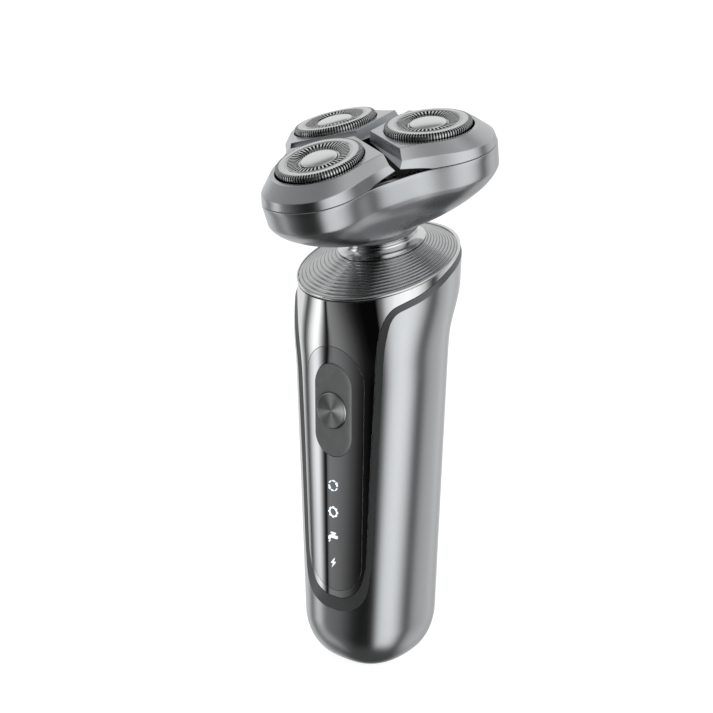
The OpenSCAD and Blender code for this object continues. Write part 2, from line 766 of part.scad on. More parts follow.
rear_shell();
front_panel();
display_lens();
button_surround();
power_button();
icon_windows();
control_board();
indicator_leds();
tact_switch();
board_screws();
inner_chassis();
battery_cell();
battery_tabs();
charge_socket();
top_deck();
rim_ring();
deck_gasket();
neck_collar();
neck_seal();
neck_bush();
motor_mount();
drive_motor();
motor_shaft();
drive_coupling();
head_base();
head_collar();
gear_tray();
gear_cover();
head_screws();
hinge_pins();
drive_gear();
cutter_gear_a();
cutter_gear_b();
cutter_gear_c();
cutter_frame_a();
cutter_frame_b();
cutter_frame_c();
retainer_a();
retainer_b();
retainer_c();
guard_a();
guard_b();
guard_c();
guard_cap_a();
guard_cap_b();
guard_cap_c();
blade_a();
blade_b();
blade_c();
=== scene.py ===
"""Looks of the rotary shaver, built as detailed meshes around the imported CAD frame.

Lengths are in millimetres and angles in degrees unless a name says otherwise. Meshes are
turned into metres when they become objects.
"""
import json
import math

import bpy
import numpy as np
from mathutils import Matrix, Vector


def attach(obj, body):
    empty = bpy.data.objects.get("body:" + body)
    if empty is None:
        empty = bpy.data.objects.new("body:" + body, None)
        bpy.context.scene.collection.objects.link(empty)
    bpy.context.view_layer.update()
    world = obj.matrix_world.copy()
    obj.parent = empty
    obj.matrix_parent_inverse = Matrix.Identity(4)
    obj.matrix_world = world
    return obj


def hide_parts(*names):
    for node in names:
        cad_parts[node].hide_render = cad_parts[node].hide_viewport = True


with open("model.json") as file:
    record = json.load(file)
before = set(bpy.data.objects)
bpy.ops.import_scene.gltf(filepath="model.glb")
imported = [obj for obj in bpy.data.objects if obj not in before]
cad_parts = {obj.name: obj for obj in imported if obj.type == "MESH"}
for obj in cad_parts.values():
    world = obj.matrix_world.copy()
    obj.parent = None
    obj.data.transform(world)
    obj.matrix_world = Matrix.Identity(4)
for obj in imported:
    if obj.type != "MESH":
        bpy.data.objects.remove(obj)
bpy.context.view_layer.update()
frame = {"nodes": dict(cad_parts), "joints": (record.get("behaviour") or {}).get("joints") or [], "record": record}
JOINTS = {joint["name"]: joint for joint in frame["joints"]}

MM = 0.001
TAU = 2 * math.pi

# ---------- the camera, at the photograph's viewing angle ----------

CAMERA_AT = (177.58, -236.93, 165.6)
CAMERA_AZIMUTH = 37.95
CAMERA_ELEVATION = 14.31
CAMERA_ROLL = 0.075
CAMERA_LENS = 53.91


def make_camera():
    data = bpy.data.cameras.new("camera")
    data.lens = CAMERA_LENS
    data.sensor_width = 36.0
    data.clip_start = 0.01
    data.clip_end = 50.0
    camera = bpy.data.objects.new("camera", data)
    bpy.context.scene.collection.objects.link(camera)
    a, e = math.radians(CAMERA_AZIMUTH), math.radians(CAMERA_ELEVATION)
    back = Vector((math.sin(a) * math.cos(e), -math.cos(a) * math.cos(e), math.sin(e)))
    turn = (-back).to_track_quat("-Z", "Y").to_matrix().to_4x4()
    roll = Matrix.Rotation(math.radians(CAMERA_ROLL), 4, "Z")
    camera.matrix_world = Matrix.Translation(Vector(CAMERA_AT) * MM) @ turn @ roll
    bpy.context.scene.camera = camera


# ---------- materials ----------

class Nodes:
    """A node tree with short ways to add nodes, link them and do sums."""

    def __init__(self, tree):
        self.tree = tree

    def add(self, kind, **values):
        node = self.tree.nodes.new(kind)
        for key, value in values.items():
            setattr(node, key, value)
        return node

    def link(self, source, target):
        self.tree.links.new(source, target)

    def math(self, operation, a, b=0.0):
        node = self.add("ShaderNodeMath", operation=operation)
        for socket, value in zip(node.inputs, (a, b)):
            if isinstance(value, (int, float)):
                socket.default_value = value
            else:
                self.link(value, socket)
        return node.outputs[0]

    def ramp(self, source, stops):
        """Colour ramp over (position, grey or colour) stops."""
        node = self.add("ShaderNodeValToRGB")
        self.link(source, node.inputs["Fac"])
        elements = node.color_ramp.elements
        elements.remove(elements[-1])
        for k, (place, value) in enumerate(stops):
            stop = elements[0] if k == 0 else elements.new(place)
            stop.position = place
            stop.color = (*(value if isinstance(value, tuple) else (value,) * 3), 1)
        return node


class Finish(Nodes):
    """A procedural material, built up node by node around one Principled shader."""

    def __init__(self, name, colour, metallic, rough):
        self.material = bpy.data.materials.new(name)
        self.material.use_nodes = True
        super().__init__(self.material.node_tree)
        self.shader = self.tree.nodes["Principled BSDF"]
        self.shader.inputs["Metallic"].default_value = metallic
        self.shader.inputs["Roughness"].default_value = rough
        self.shader.inputs["Base Color"].default_value = (*colour, 1)
        self.colour, self.rough, self.height = colour, rough, None
        self.coords = self.add("ShaderNodeTexCoord").outputs["Object"]

    def noise(self, scale, detail=3.0, stretch=(1, 1, 1), rough=0.55):
        mapping = self.add("ShaderNodeMapping")
        mapping.inputs["Scale"].default_value = stretch
        self.link(self.coords, mapping.inputs["Vector"])
        node = self.add("ShaderNodeTexNoise")
        node.inputs["Scale"].default_value = scale
        node.inputs["Detail"].default_value = detail
        node.inputs["Roughness"].default_value = rough
        self.link(mapping.outputs[0], node.inputs["Vector"])
        return node.outputs["Fac"]

    def cells(self, scale):
        node = self.add("ShaderNodeTexVoronoi")
        node.inputs["Scale"].default_value = scale
        self.link(self.coords, node.inputs["Vector"])
        return node.outputs["Distance"]

    def spread(self, source, low, high):
        """source, from about 0.3 to 0.7 as noise gives it, spread over low to high."""
        node = self.add("ShaderNodeMapRange")
        for key, value in (("From Min", 0.3), ("From Max", 0.7), ("To Min", low), ("To Max", high)):
            node.inputs[key].default_value = value
        self.link(source, node.inputs["Value"])
        return node.outputs[0]

    def vary_colour(self, source, amount, tint=(1, 1, 1)):
        """Colour from (1 - amount) to (1 + amount) times its own, leaning to tint where high."""
        mix = self.add("ShaderNodeMix", data_type="RGBA")
        low = [c * (1 - amount) for c in self.colour]
        high = [min(1, c * (1 + amount) * t) for c, t in zip(self.colour, tint)]
        mix.inputs["A"].default_value = (*low, 1)
        mix.inputs["B"].default_value = (*high, 1)
        self.link(self.spread(source, 0, 1), mix.inputs["Factor"])
        self.link(mix.outputs["Result"], self.shader.inputs["Base Color"])
        return self

    def vary_rough(self, source, amount):
        low, high = max(0.02, self.rough - amount), self.rough + amount
        self.link(self.spread(source, low, high), self.shader.inputs["Roughness"])
        return self

    def bump(self, source, depth_mm, strength=1.0):
        node = self.add("ShaderNodeBump")
        node.inputs["Strength"].default_value = strength
        node.inputs["Distance"].default_value = depth_mm * MM
        self.link(source, node.inputs["Height"])
        if self.height is not None:
            self.link(self.height, node.inputs["Normal"])
        self.height = node.outputs[0]
        self.link(self.height, self.shader.inputs["Normal"])
        return self

    def spin(self, amount):
        """Turned on a lathe about the object's own Z axis: streaks of light run outwards."""
        self.shader.inputs["Anisotropic"].default_value = amount
        tangent = self.add("ShaderNodeTangent", direction_type="RADIAL", axis="Z")
        self.link(tangent.outputs[0], self.shader.inputs["Tangent"])
        return self

    def radius(self):
        """Distance from the object's own Z axis, in millimetres."""
        split = self.add("ShaderNodeSeparateXYZ")
        self.link(self.coords, split.inputs[0])
        x, y = split.outputs[0], split.outputs[1]
        sum_of_squares = self.math("ADD", self.math("MULTIPLY", x, x), self.math("MULTIPLY", y, y))
        return self.math("DIVIDE", self.math("SQRT", sum_of_squares), MM)

    def turning_marks(self, per_mm, depth_mm):
        waves = self.math("SINE", self.math("MULTIPLY", self.radius(), per_mm * TAU))
        return self.bump(waves, depth_mm)


def metallic_paint(name, colour, rough, mottle=0.06):
    """Satin metal coat: fine flake and sparkle over a faint change of sheen."""
    finish = Finish(name, colour, 1.0, rough)
    finish.vary_colour(finish.noise(6500, 2), mottle, (1.0, 1.005, 1.01))
    finish.vary_rough(finish.noise(60, 2), 0.012)
    return finish.bump(finish.noise(7500, 2), 0.0022)


def satin_plastic(name, colour):
    """Half-metallic lacquer with fine flake."""
    finish = Finish(name, colour, 0.55, 0.38)
    finish.vary_colour(finish.noise(6500, 2), 0.08)
    finish.vary_rough(finish.noise(90, 2), 0.02)
    return finish.bump(finish.noise(7000, 2), 0.002)


def polished(name, colour, rough=0.03):
    """Mirror plate with hairline scuffs and a slight haze."""
    finish = Finish(name, colour, 1.0, rough)
    finish.vary_colour(finish.noise(60, 2), 0.02)
    finish.vary_rough(finish.noise(240, 3, (1, 1, 0.2)), 0.015)
    return finish.bump(finish.noise(1500, 2, (1, 1, 0.05)), 0.0002)


def grooved(name, colour):
    """Bright metal of the deck, faintly brushed."""
    finish = Finish(name, colour, 1.0, 0.13)
    finish.vary_colour(finish.noise(400, 3), 0.05)
    finish.vary_rough(finish.noise(900, 3), 0.03)
    return finish.bump(finish.noise(2500, 2), 0.0003)


def moulded(name, colour, rough=0.5, grain=2600, depth=0.012):
    """Moulded plastic with a fine spark-eroded grain."""
    finish = Finish(name, colour, 0.0, rough)
    finish.vary_colour(finish.noise(300, 4), 0.08)
    finish.vary_rough(finish.noise(700, 3), 0.06)
    return finish.bump(finish.cells(grain), depth)


def turned(name, colour, rough=0.22, marks=6.0):
    """Machined metal with turning marks."""
    finish = Finish(name, colour, 1.0, rough)
    finish.vary_colour(finish.noise(900, 3, (1, 1, 6)), 0.07)
    finish.vary_rough(finish.noise(1300, 3, (1, 1, 8)), 0.05)
    return finish.bump(finish.noise(marks * 500, 2, (0.2, 0.2, 5)), 0.003)


def lit(name, colour, strength):
    """Symbol that glows faintly unevenly."""
    finish = Finish(name, colour, 0.0, 0.4)
    glow = finish.spread(finish.noise(1200, 2), 0.92 * strength, 1.06 * strength)
    finish.link(glow, finish.shader.inputs["Emission Strength"])
    finish.shader.inputs["Emission Color"].default_value = (*colour, 1)
    return finish.bump(finish.noise(3000, 2), 0.001)


# Painted highlight and painted shade: brightness painted into the button face's colour, by share of a turn
PAINTED_HIGHLIGHT_WEDGES = [(0.0, 0.55), (0.06, 1.3), (0.12, 0.5), (0.19, 0.35), (0.27, 1.0), (0.33, 0.4), (0.4, 0.3),
          (0.47, 0.9), (0.53, 1.5), (0.6, 0.45), (0.68, 0.3), (0.75, 1.1), (0.82, 0.4),
          (0.9, 0.3), (1.0, 0.55)]


def spun_disc_painted_highlight(name, colour):
    """The button's face: fine circular brushing, with wedges of painted highlight and painted shade in its colour.
    """
    finish = Finish(name, colour, 1.0, 0.34)
    turn = finish.add("ShaderNodeTexGradient", gradient_type="RADIAL")
    finish.link(finish.coords, turn.inputs["Vector"])
    # Painted highlight: bright and dark wedges of reflection, painted into the base colour by the turn round the
    # disc
    stops = [(share, tuple(c * level for c in colour)) for share, level in PAINTED_HIGHLIGHT_WEDGES]
    ramp = finish.ramp(turn.outputs["Fac"], stops)
    ramp.color_ramp.interpolation = "B_SPLINE"
    finish.link(ramp.outputs["Color"], finish.shader.inputs["Base Color"])
    finish.vary_rough(finish.noise(2200, 3), 0.05)
    return finish.turning_marks(9.0, 0.0004)


def cutter_finish(name, colour):
    """Ground steel with turning marks about the cutter's axis."""
    finish = Finish(name, colour, 1.0, 0.22)
    finish.vary_colour(finish.noise(1500, 3), 0.06)
    finish.spin(0.7)
    return finish.turning_marks(7.0, 0.0004)


def board_finish(name, colour):
    """Solder mask over faint copper tracks."""
    finish = Finish(name, colour, 0.0, 0.35)
    tracks = finish.add("ShaderNodeTexBrick")
    tracks.inputs["Scale"].default_value = 320
    finish.link(finish.coords, tracks.inputs["Vector"])
    finish.vary_colour(finish.noise(500, 3), 0.12)
    return finish.bump(tracks.outputs["Fac"], 0.03)


# Each material's maker, colour, and what else its maker takes
FINISHES = {
    "satin_shell": (metallic_paint, (0.56, 0.575, 0.585), 0.23),
    "dark_band": (satin_plastic, (0.17, 0.175, 0.178)),
    "dark_chrome": (polished, (0.74, 0.745, 0.75)),
    "black_lens": (polished, (0.58, 0.585, 0.6), 0.02),
    "grey_plastic": (moulded, (0.29, 0.295, 0.3), 0.55, 3400, 0.003),
    # spun_metal carries painted highlight and painted shade wedges in its colour
    "spun_metal": (spun_disc_painted_highlight, (0.6, 0.605, 0.61)),
    "white_icon": (lit, (0.86, 0.93, 1.0), 1.1),
    "circuit_board": (board_finish, (0.02, 0.11, 0.05)),
    "dark_plastic": (moulded, (0.018, 0.018, 0.02), 0.5),
    "steel_screw": (turned, (0.55, 0.55, 0.56)),
    "cell_wrap": (moulded, (0.05, 0.16, 0.38), 0.25, 500, 0.01),
    "nickel_strip": (turned, (0.62, 0.59, 0.54), 0.18),
    "bright_chrome": (polished, (0.72, 0.725, 0.73)),
    "grooved_metal": (grooved, (0.5, 0.505, 0.51)),
    "seal_rubber": (moulded, (0.012, 0.012, 0.012), 0.7, 1800, 0.01),
    "bush_brass": (turned, (0.72, 0.5, 0.2)),
    "motor_can": (turned, (0.5, 0.5, 0.51), 0.28),
    "head_satin": (metallic_paint, (0.52, 0.535, 0.545), 0.28),
    "gear_nylon": (moulded, (0.82, 0.79, 0.7), 0.42, 1500, 0.008),
    "cutter_steel": (cutter_finish, (0.66, 0.665, 0.67)),
    "cutter_inside": (turned, (0.03, 0.03, 0.032), 0.4),
    # Painted shade: cutter_inside colours the guard's inner faces and slot walls near-black, though they are the
    # same steel as cutter_steel
    "blade_steel": (turned, (0.12, 0.12, 0.125), 0.35),
    "cap_satin": (metallic_paint, (0.8, 0.805, 0.81), 0.3, 0.03),
}
MATERIALS = {name: maker(name, *values).material for name, (maker, *values) in FINISHES.items()}
SLOT_OF = {row["node"]: row["material_slot"] for row in frame["record"]["subparts"]}

# ---------- meshes ----------


class Solid:
    """Points, faces and, where they matter, the corner normals of one piece."""

    def __init__(self):
        self.points, self.faces, self.normals, self.slots = [], [], [], []

    def add(self, points):
        start = len(self.points)
        self.points.extend([tuple(p) for p in points])
        return list(range(start, len(self.points)))

    def face(self, corners, normals=None, slot=0):
        self.faces.append(tuple(corners))
        self.normals.append(normals)
        self.slots.append(slot)

    def band(self, low, high, low_normals=None, high_normals=None, slot=0, closed=True):
        """Quads between two rows of corners; low_normals and high_normals go with the rows."""
        n = len(low)
        for i in range(n if closed else n - 1):
            j = (i + 1) % n
            normals = None
            if low_normals is not None:
                normals = (low_normals[i], low_normals[j], high_normals[j], high_normals[i])
            self.face((low[i], low[j], high[j], high[i]), normals, slot)

    def fan(self, row, tip, slot=0):
        """Triangles from a closed row of corners to one point."""
        centre = self.add([tip])[0]
        for i, corner in enumerate(row):
            self.face((corner, row[(i + 1) % len(row)], centre), None, slot)

    def mesh(self, name):
        mesh = bpy.data.meshes.new(name)
        mesh.from_pydata([[c * MM for c in p] for p in self.points], [], self.faces)
        mesh.polygons.foreach_set("material_index", self.slots)
        mesh.polygons.foreach_set("use_smooth", [True] * len(self.faces))
        return mesh

    def piece(self, name, node, slots, sharp=35.0, matrix=None):
        """The object, which stands for CAD node "node" and rides on its body."""
        mesh = self.mesh(name)
        if any(n is not None for n in self.normals):
            corners = []
            for face, normals in zip(self.faces, self.normals):
                corners.extend([(0, 0, 0)] * len(face) if normals is None else normals)
            mesh.normals_split_custom_set([tuple(map(float, n)) for n in corners])
        else:
            mesh.set_sharp_from_angle(angle=math.radians(sharp))
        mesh.update()
        for slot in slots:
            mesh.materials.append(MATERIALS[slot])
        obj = bpy.data.objects.new(name, mesh)
        bpy.context.scene.collection.objects.link(obj)
        if matrix is not None:
            obj.matrix_world = matrix
        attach(obj, BODY_OF[node])
        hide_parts(node)
        return obj


BODY_OF = {node: body for body, nodes in frame["record"]["behaviour"]["bodies"].items()
           for node in nodes}


def rounded(points, size, steps=3, closed=True):
    """The outline with each corner rounded; size is one number or one for each corner."""
    points = [np.array(p, float) for p in points]
    sizes = [size] * len(points) if isinstance(size, (int, float)) else size
    out = []
    for i, p in enumerate(points):
        if sizes[i] == 0 or (not closed and i in (0, len(points) - 1)):
            out.append(p)
            continue
        before, after = points[i - 1] - p, points[(i + 1) % len(points)] - p
        room = min(np.linalg.norm(before), np.linalg.norm(after)) * 0.45
        d = min(sizes[i], room)
        a, b = p + before / np.linalg.norm(before) * d, p + after / np.linalg.norm(after) * d
        for k in range(steps + 1):
            t = k / steps
            out.append((1 - t) ** 2 * a + 2 * t * (1 - t) * p + t * t * b)
    return out


def spline(points, steps):
    """Catmull-Rom curve through the points."""
    p = [np.array(q, float) for q in points]
    out = []
    for i in range(len(p) - 1):
        a, b, c, d = p[max(i - 1, 0)], p[i], p[i + 1], p[min(i + 2, len(p) - 1)]
        for k in range(steps):
            t = k / steps
            out.append(0.5 * (2 * b + (c - a) * t + (2 * a - 5 * b + 4 * c - d) * t * t
                              + (3 * b - a - 3 * c + d) * t ** 3))
    out.append(p[-1])
    return out


def circle(r, z, steps, phase=0.0):
    return [(r * math.cos(TAU * i / steps + phase), r * math.sin(TAU * i / steps + phase), z)
            for i in range(steps)]


def lathe(profile, steps=128):
    """Solid of revolution about Z. The profile is [r, z] corners, anticlockwise and closed,
    or open where it starts and ends on the axis."""
    solid = Solid()
    on_axis = [i for i, p in enumerate(profile) if p[0] < 1e-6]
    if on_axis:
        inner = [p for p in profile if p[0] >= 1e-6]
        rows = [solid.add(circle(r, z, steps)) for r, z in inner]
        for low, high in zip(rows, rows[1:]):
            solid.band(low, high)
        solid.fan(rows[0][::-1], (0, 0, profile[0][1]))
        solid.fan(rows[-1], (0, 0, profile[-1][1]))
        return solid
    rows = [solid.add(circle(r, z, steps)) for r, z in profile]
    for low, high in zip(rows, rows[1:] + rows[:1]):
        solid.band(low, high)
    return solid


def ring_solid(rows_of_points, slot=0):
    """Closed body through rows of points, the last row joined to the first."""
    solid = Solid()
    rows = [solid.add(points) for points in rows_of_points]
    for low, high in zip(rows, rows[1:] + rows[:1]):
        solid.band(low, high, slot=slot)
    return solid


# ---------- frames of the head and the rim ----------

HEAD_AXIS = Vector(JOINTS["motor_spin"]["axis"])
RIM_Z, RIM_LEAN, RIM_R = 118.5, math.radians(20.5), 23.19
NECK_Z = -28.45
CUTTER_PITCH, CUTTER_TILT = 18.3, math.radians(4.7)
CUTTER_SUNK = 0.15
LETTERS = {"a": 270.0, "b": 30.0, "c": 150.0}


def matrix_from(axis, x, origin_m):
    z = Vector(axis).normalized()
    y = z.cross(Vector(x)).normalized()
    turn = Matrix((y.cross(z), y, z)).transposed().to_4x4()
    return Matrix.Translation(origin_m) @ turn


HEAD_AT = sum((Vector(JOINTS[f"blade_{k}_spin"]["pos_m"]) for k in LETTERS), Vector()) / 3
HEAD = matrix_from(HEAD_AXIS, (1, 0, 0), HEAD_AT)
RIM = Matrix.Translation((0, 0, RIM_Z * MM)) @ Matrix.Rotation(RIM_LEAN, 4, "X")
CUTTER = {}
for key in LETTERS:
    spin = JOINTS[f"blade_{key}_spin"]
    level_x = Vector((0, 0, 1)).cross(Vector(spin["axis"]))
    sunk = Vector(spin["pos_m"]) - Vector(spin["axis"]).normalized() * CUTTER_SUNK * MM
    CUTTER[key] = matrix_from(spin["axis"], level_x, sunk)


def moved(matrix, points):
    """Points in millimetres, taken from a local frame whose matrix is in metres."""
    m = np.array(matrix, float)
    return np.asarray(points, float) @ m[:3, :3].T + m[:3, 3] / MM


# ---------- the handle's skin ----------

FOOT_RISE, FOOT_INSET = 13.5, 8.5
SMOOTHING = (0.07, 0.24, 0.38, 0.24, 0.07)
SMOOTHING_STEP = math.radians(4)
# Radius that turns an angle round the handle into a length along the skin
ARC = 21.5
SIDE_R, SIDE_TAPER, SIDE_FLARE = 17.7, 0.0433, 0.6
FRONT_R, FRONT_FLARE = 20.2, 2.0
BACK_R, BACK_TAPER, BACK_FLARE = 17.6, 0.014, 7.19
FRONT_SQUARENESS, SQUARENESS_LOST = 2.7, 0.7
PANEL_DEPTH, PANEL_WALL = 0.5, 1.3
LENS_DEPTH, LENS_WALL = 0.49, 1.0
LENS_LOW, LENS_HIGH = (34.4, 9.4), (86.8, 10.2)
SHELL_WALL = 1.8
SLOT_Z, SLOT_HALF_W, SLOT_HALF_H = 21.5, 4.55, 1.7


def ease(t):
    t = np.clip(t, 0, 1)
    return t * t * (3 - 2 * t)


def foot_round(z):
    t = np.clip(1 - z / FOOT_RISE, 0, 1)
    return FOOT_INSET * (1 - np.sqrt(1 - t * t))


def plain_radius(phi, z):
    """Distance of the skin from the axis: a superellipse in front and an ellipse behind."""
    foot = foot_round(z)
    half_w = SIDE_R + SIDE_TAPER * z + SIDE_FLARE * ease((z - 92) / 17) - foot
    front = FRONT_R + FRONT_FLARE * ease((z - 86) / 27) - foot
    back = BACK_R - BACK_TAPER * (z - 50) + BACK_FLARE * ease((z - 98) / 14.5) - foot
    ahead = np.cos(phi) > 0
    n = np.where(ahead, FRONT_SQUARENESS - SQUARENESS_LOST * ease((z - 93) / 20), 2.0)
    depth = np.where(ahead, front, back)
    return ((np.abs(np.sin(phi)) / half_w) ** n + (np.abs(np.cos(phi)) / depth) ** n) ** (-1 / n)


def skin_at(phi, z):
    """Points of the skin; phi is the turn from the front, towards +X, in radians."""
    r = sum(w * plain_radius(phi + (k - 2) * SMOOTHING_STEP, z) for k, w in enumerate(SMOOTHING))
    return np.stack([r * np.sin(phi), -r * np.cos(phi), z], -1)


def skin_normal(phi, z):
    d = 1e-3
    low = np.maximum(z - 20 * d, 0)
    across = skin_at(phi + d, z) - skin_at(phi - d, z)
    up = skin_at(phi, low + 40 * d) - skin_at(phi, low)
    n = np.cross(across, up)
    return n / np.linalg.norm(n, axis=-1, keepdims=True)


# The chrome panel's edge, as (turn from the front, height), up the side and round the back
PANEL_EDGE = [(-8.5, 23.1), (0, 22.95), (8.5, 23.15), (18.7, 25.0), (25.3, 28.2), (29.2, 32.4),
              (30.6, 37.5), (31.8, 49), (33.8, 69.5), (35.7, 83.7), (36.9, 94.9), (38.5, 100.4),
              (41.6, 105.0), (47.5, 108.2), (56, 109.9), (65, 111.3), (75, 113.2), (84, 115.2),
              (95, 117.5), (108, 119.7), (122, 121.9), (140, 123.95), (160, 125.45),
              (180, 125.97), (200, 125.45)]
EDGE = np.array([(math.radians(p[0]) * ARC, p[1]) for p in spline(PANEL_EDGE, 24)])
# Width of the dark band beside each point of EDGE
EDGE_WIDTH = (1.5 + 0.3 * ease((EDGE[:, 1] - 55) / 25) * ease((108 - EDGE[:, 1]) / 6)
              + 2.25 * ease((33 - EDGE[:, 1]) / 10))


def nearest_on_edge(phi, z):
    """Signed distance to the panel's edge, positive on the shell's side, and which corner
    of EDGE is nearest."""
    turn = np.abs((phi + math.pi) % TAU - math.pi)
    q = np.stack([turn * ARC, z], -1)
    distance, index = np.empty(len(q)), np.empty(len(q), int)
    for start in range(0, len(q), 4000):
        part = q[start:start + 4000]
        gap = np.linalg.norm(part[:, None] - EDGE[None], axis=2)
        i = np.clip(gap.argmin(1), 1, len(EDGE) - 2)
        t = EDGE[i + 1] - EDGE[i - 1]
        t /= np.linalg.norm(t, axis=1, keepdims=True)
        to = part - EDGE[i]
        near = -(t[:, 0] * to[:, 1] - t[:, 1] * to[:, 0])
        distance[start:start + 4000] = np.where(gap.min(1) > 3, np.sign(near) * gap.min(1), near)
        index[start:start + 4000] = i
    return distance, index


def outside_band(phi, z):
    distance, i = nearest_on_edge(phi, z)
    return distance - EDGE_WIDTH[i]


def inside_panel(phi, z):
    return -nearest_on_edge(phi, z)[0] - 0.12


def pill_distance(x, z, low, high):
    t = np.clip((z - low[0]) / (high[0] - low[0]), 0, 1)
    r = low[1] + (high[1] - low[1]) * t
    return np.hypot(x, z - (low[0] + (high[0] - low[0]) * t)) - r


def outside_lens(phi, z):
    distance = pill_distance(skin_at(phi, z)[:, 0], z, LENS_LOW, LENS_HIGH)
    return np.where(np.cos(phi) > 0, distance, 50.0)


def below_rim(depth):
    def f(phi, z):
        y = skin_at(phi, z)[:, 1]
        return -((z - RIM_Z) * math.cos(RIM_LEAN) - y * math.sin(RIM_LEAN)) - depth
    return f


def outside_slot(phi, z):
    """Distance from the charging slot, low on the back."""
    p = skin_at(phi, z)
    reach = np.maximum(np.abs(p[:, 0]) - (SLOT_HALF_W - SLOT_HALF_H), 0)
    return np.where(p[:, 1] > 0, np.hypot(reach, z - SLOT_Z) - SLOT_HALF_H, 50.0)


class Patch:
    """Faces on the handle's skin, whose corners are turns and heights, cut to a region."""

    def __init__(self, turns, heights):
        self.phi = np.tile(turns, len(heights))
        self.z = np.repeat(heights, len(turns))
        n = len(turns)
        wraps = abs(turns[-1] - turns[0]) > TAU - 2 * (turns[1] - turns[0])
        across = [(i, (i + 1) % n) for i in range(n if wraps else n - 1)]
        self.faces = [(k * n + i, k * n + j, (k + 1) * n + j, (k + 1) * n + i)
                      for k in range(len(heights) - 1) for i, j in across]
        self.pinned = np.zeros(len(self.phi), bool)
        self.cell = 0.65

    def snap(self, f, value):
        """Moves corners close to the line f = 0 onto it."""
        near = (np.abs(value) < 0.3 * self.cell) & ~self.pinned
        if not near.any():
            return value
        d = 1e-3
        phi, z = self.phi[near], self.z[near]
        for _ in range(3):
            here = f(phi, z)
            slope_a = (f(phi + d / ARC, z) - here) / d
            slope_z = (f(phi, z + d) - here) / d
            size = np.maximum(slope_a ** 2 + slope_z ** 2, 0.05)
            phi = phi - here * slope_a / size / ARC
            z = z - here * slope_z / size
        self.phi[near], self.z[near] = phi, z
        self.pinned |= near
        value[near] = 0
        return value

    def crossing(self, f, i, j, value):
        turn = (self.phi[j] - self.phi[i] + math.pi) % TAU - math.pi
        rise = self.z[j] - self.z[i]
        low, high, at_low, at_high = 0.0, 1.0, value[i], value[j]
        for _ in range(5):
            t = low + (high - low) * at_low / (at_low - at_high)
            here = f(np.array([self.phi[i] + turn * t]), np.array([self.z[i] + rise * t]))[0]
            if abs(here) < 1e-4:
                break
            if here * at_low > 0:
                low, at_low = t, here
            else:
                high, at_high = t, here
        return self.phi[i] + turn * t, self.z[i] + rise * t

    def keep(self, f):
        """Keeps what lies where f > 0, cutting the faces along the line."""
        value = self.snap(f, f(self.phi, self.z))
        added, new_phi, new_z, faces = {}, [], [], []
        for face in self.faces:
            v = [value[i] for i in face]
            if min(v) >= 0 and max(v) > 0:
                faces.append(face)
                continue
            if max(v) <= 0:
                continue
            cut = []
            for k, i in enumerate(face):
                j, a, b = face[(k + 1) % len(face)], v[k], v[(k + 1) % len(face)]
                if a >= 0:
                    cut.append(i)
                if a * b < 0:
                    key = (min(i, j), max(i, j))
                    if key not in added:
                        phi, z = self.crossing(f, key[0], key[1], value)
                        added[key] = len(self.phi) + len(new_phi)
                        new_phi.append(phi)
                        new_z.append(z)
                    cut.append(added[key])
            if len(cut) > 2:
                faces.append(tuple(cut))
        self.phi = np.append(self.phi, new_phi)
        self.z = np.append(self.z, new_z)
        self.pinned = np.append(self.pinned, np.ones(len(new_phi), bool))
        self.faces = faces
        return self

    def tidy(self):
        """Drops the corners that no face uses."""
        used = sorted({i for face in self.faces for i in face})
        place = {old: new for new, old in enumerate(used)}
        self.phi, self.z = self.phi[used], self.z[used]
        self.faces = [tuple(place[i] for i in face) for face in self.faces]
        return self

    def loops(self):
        """The open edges, as closed rows of corners, with the faces on their left."""
        edges = {(f[k], f[(k + 1) % len(f)]) for f in self.faces for k in range(len(f))}
        after = {a: b for a, b in edges if (b, a) not in edges}
        found = []
        while after:
            start, at = next(iter(after.items()))
            del after[start]
            loop = [start]
            while at != start:
                loop.append(at)
                at = after.pop(at)
            found.append(loop)
        return found


def edge_frame(points, normals, loop):
    """Unit vectors that point away from the faces, at each corner of a loop."""
    p = points[loop]
    along = np.roll(p, -1, 0) - np.roll(p, 1, 0)
    away = np.cross(along, normals[loop])
    return away / np.linalg.norm(away, axis=1, keepdims=True)


def thick_piece(patch, depth, wall, lips):
    """Closed solid: the patch at a depth under the skin, its inner face a wall lower, and a
    lip round each open edge. lips(loop) gives a lip's radius, or its rows as (points, normals,
    material slot); a row in another slot than the face meets it in a crisp edge."""
    normals = skin_normal(patch.phi, patch.z)
    outer = skin_at(patch.phi, patch.z) - normals * depth
    inner = outer - normals * wall
    solid = Solid()
    top, bottom = solid.add(outer), solid.add(inner)
    for face in patch.faces:
        solid.face([top[i] for i in face], [normals[i] for i in face])
        solid.face([bottom[i] for i in face[::-1]], [-normals[i] for i in face[::-1]])
    for loop in patch.loops():
        away = edge_frame(outer, normals, loop)
        kind = lips(loop)
        last, last_normals = [top[i] for i in loop], normals[loop]
        if isinstance(kind, float):
            rows = []
            for k in range(1, 5):
                a = math.pi / 8 * k
                rows.append((outer[loop] + away * kind * math.sin(a)
                             - normals[loop] * kind * (1 - math.cos(a)),
                             normals[loop] * math.cos(a) + away * math.sin(a), 0))
        else:
            rows = kind
        for points, row_normals, slot in rows:
            row = solid.add(points)
            solid.band(row, last, row_normals, row_normals if slot else last_normals, slot)
            last, last_normals = row, row_normals
        solid.band([bottom[i] for i in loop], last)
    return solid


HANDLE_TURNS = np.linspace(-math.pi, math.pi, 220, endpoint=False)
FOOT_HEIGHTS = FOOT_RISE * (1 - np.cos(np.linspace(0, math.pi / 2, 26)))
HANDLE_HEIGHTS = np.concatenate([FOOT_HEIGHTS, np.arange(FOOT_RISE + 0.75, 129, 0.75)])


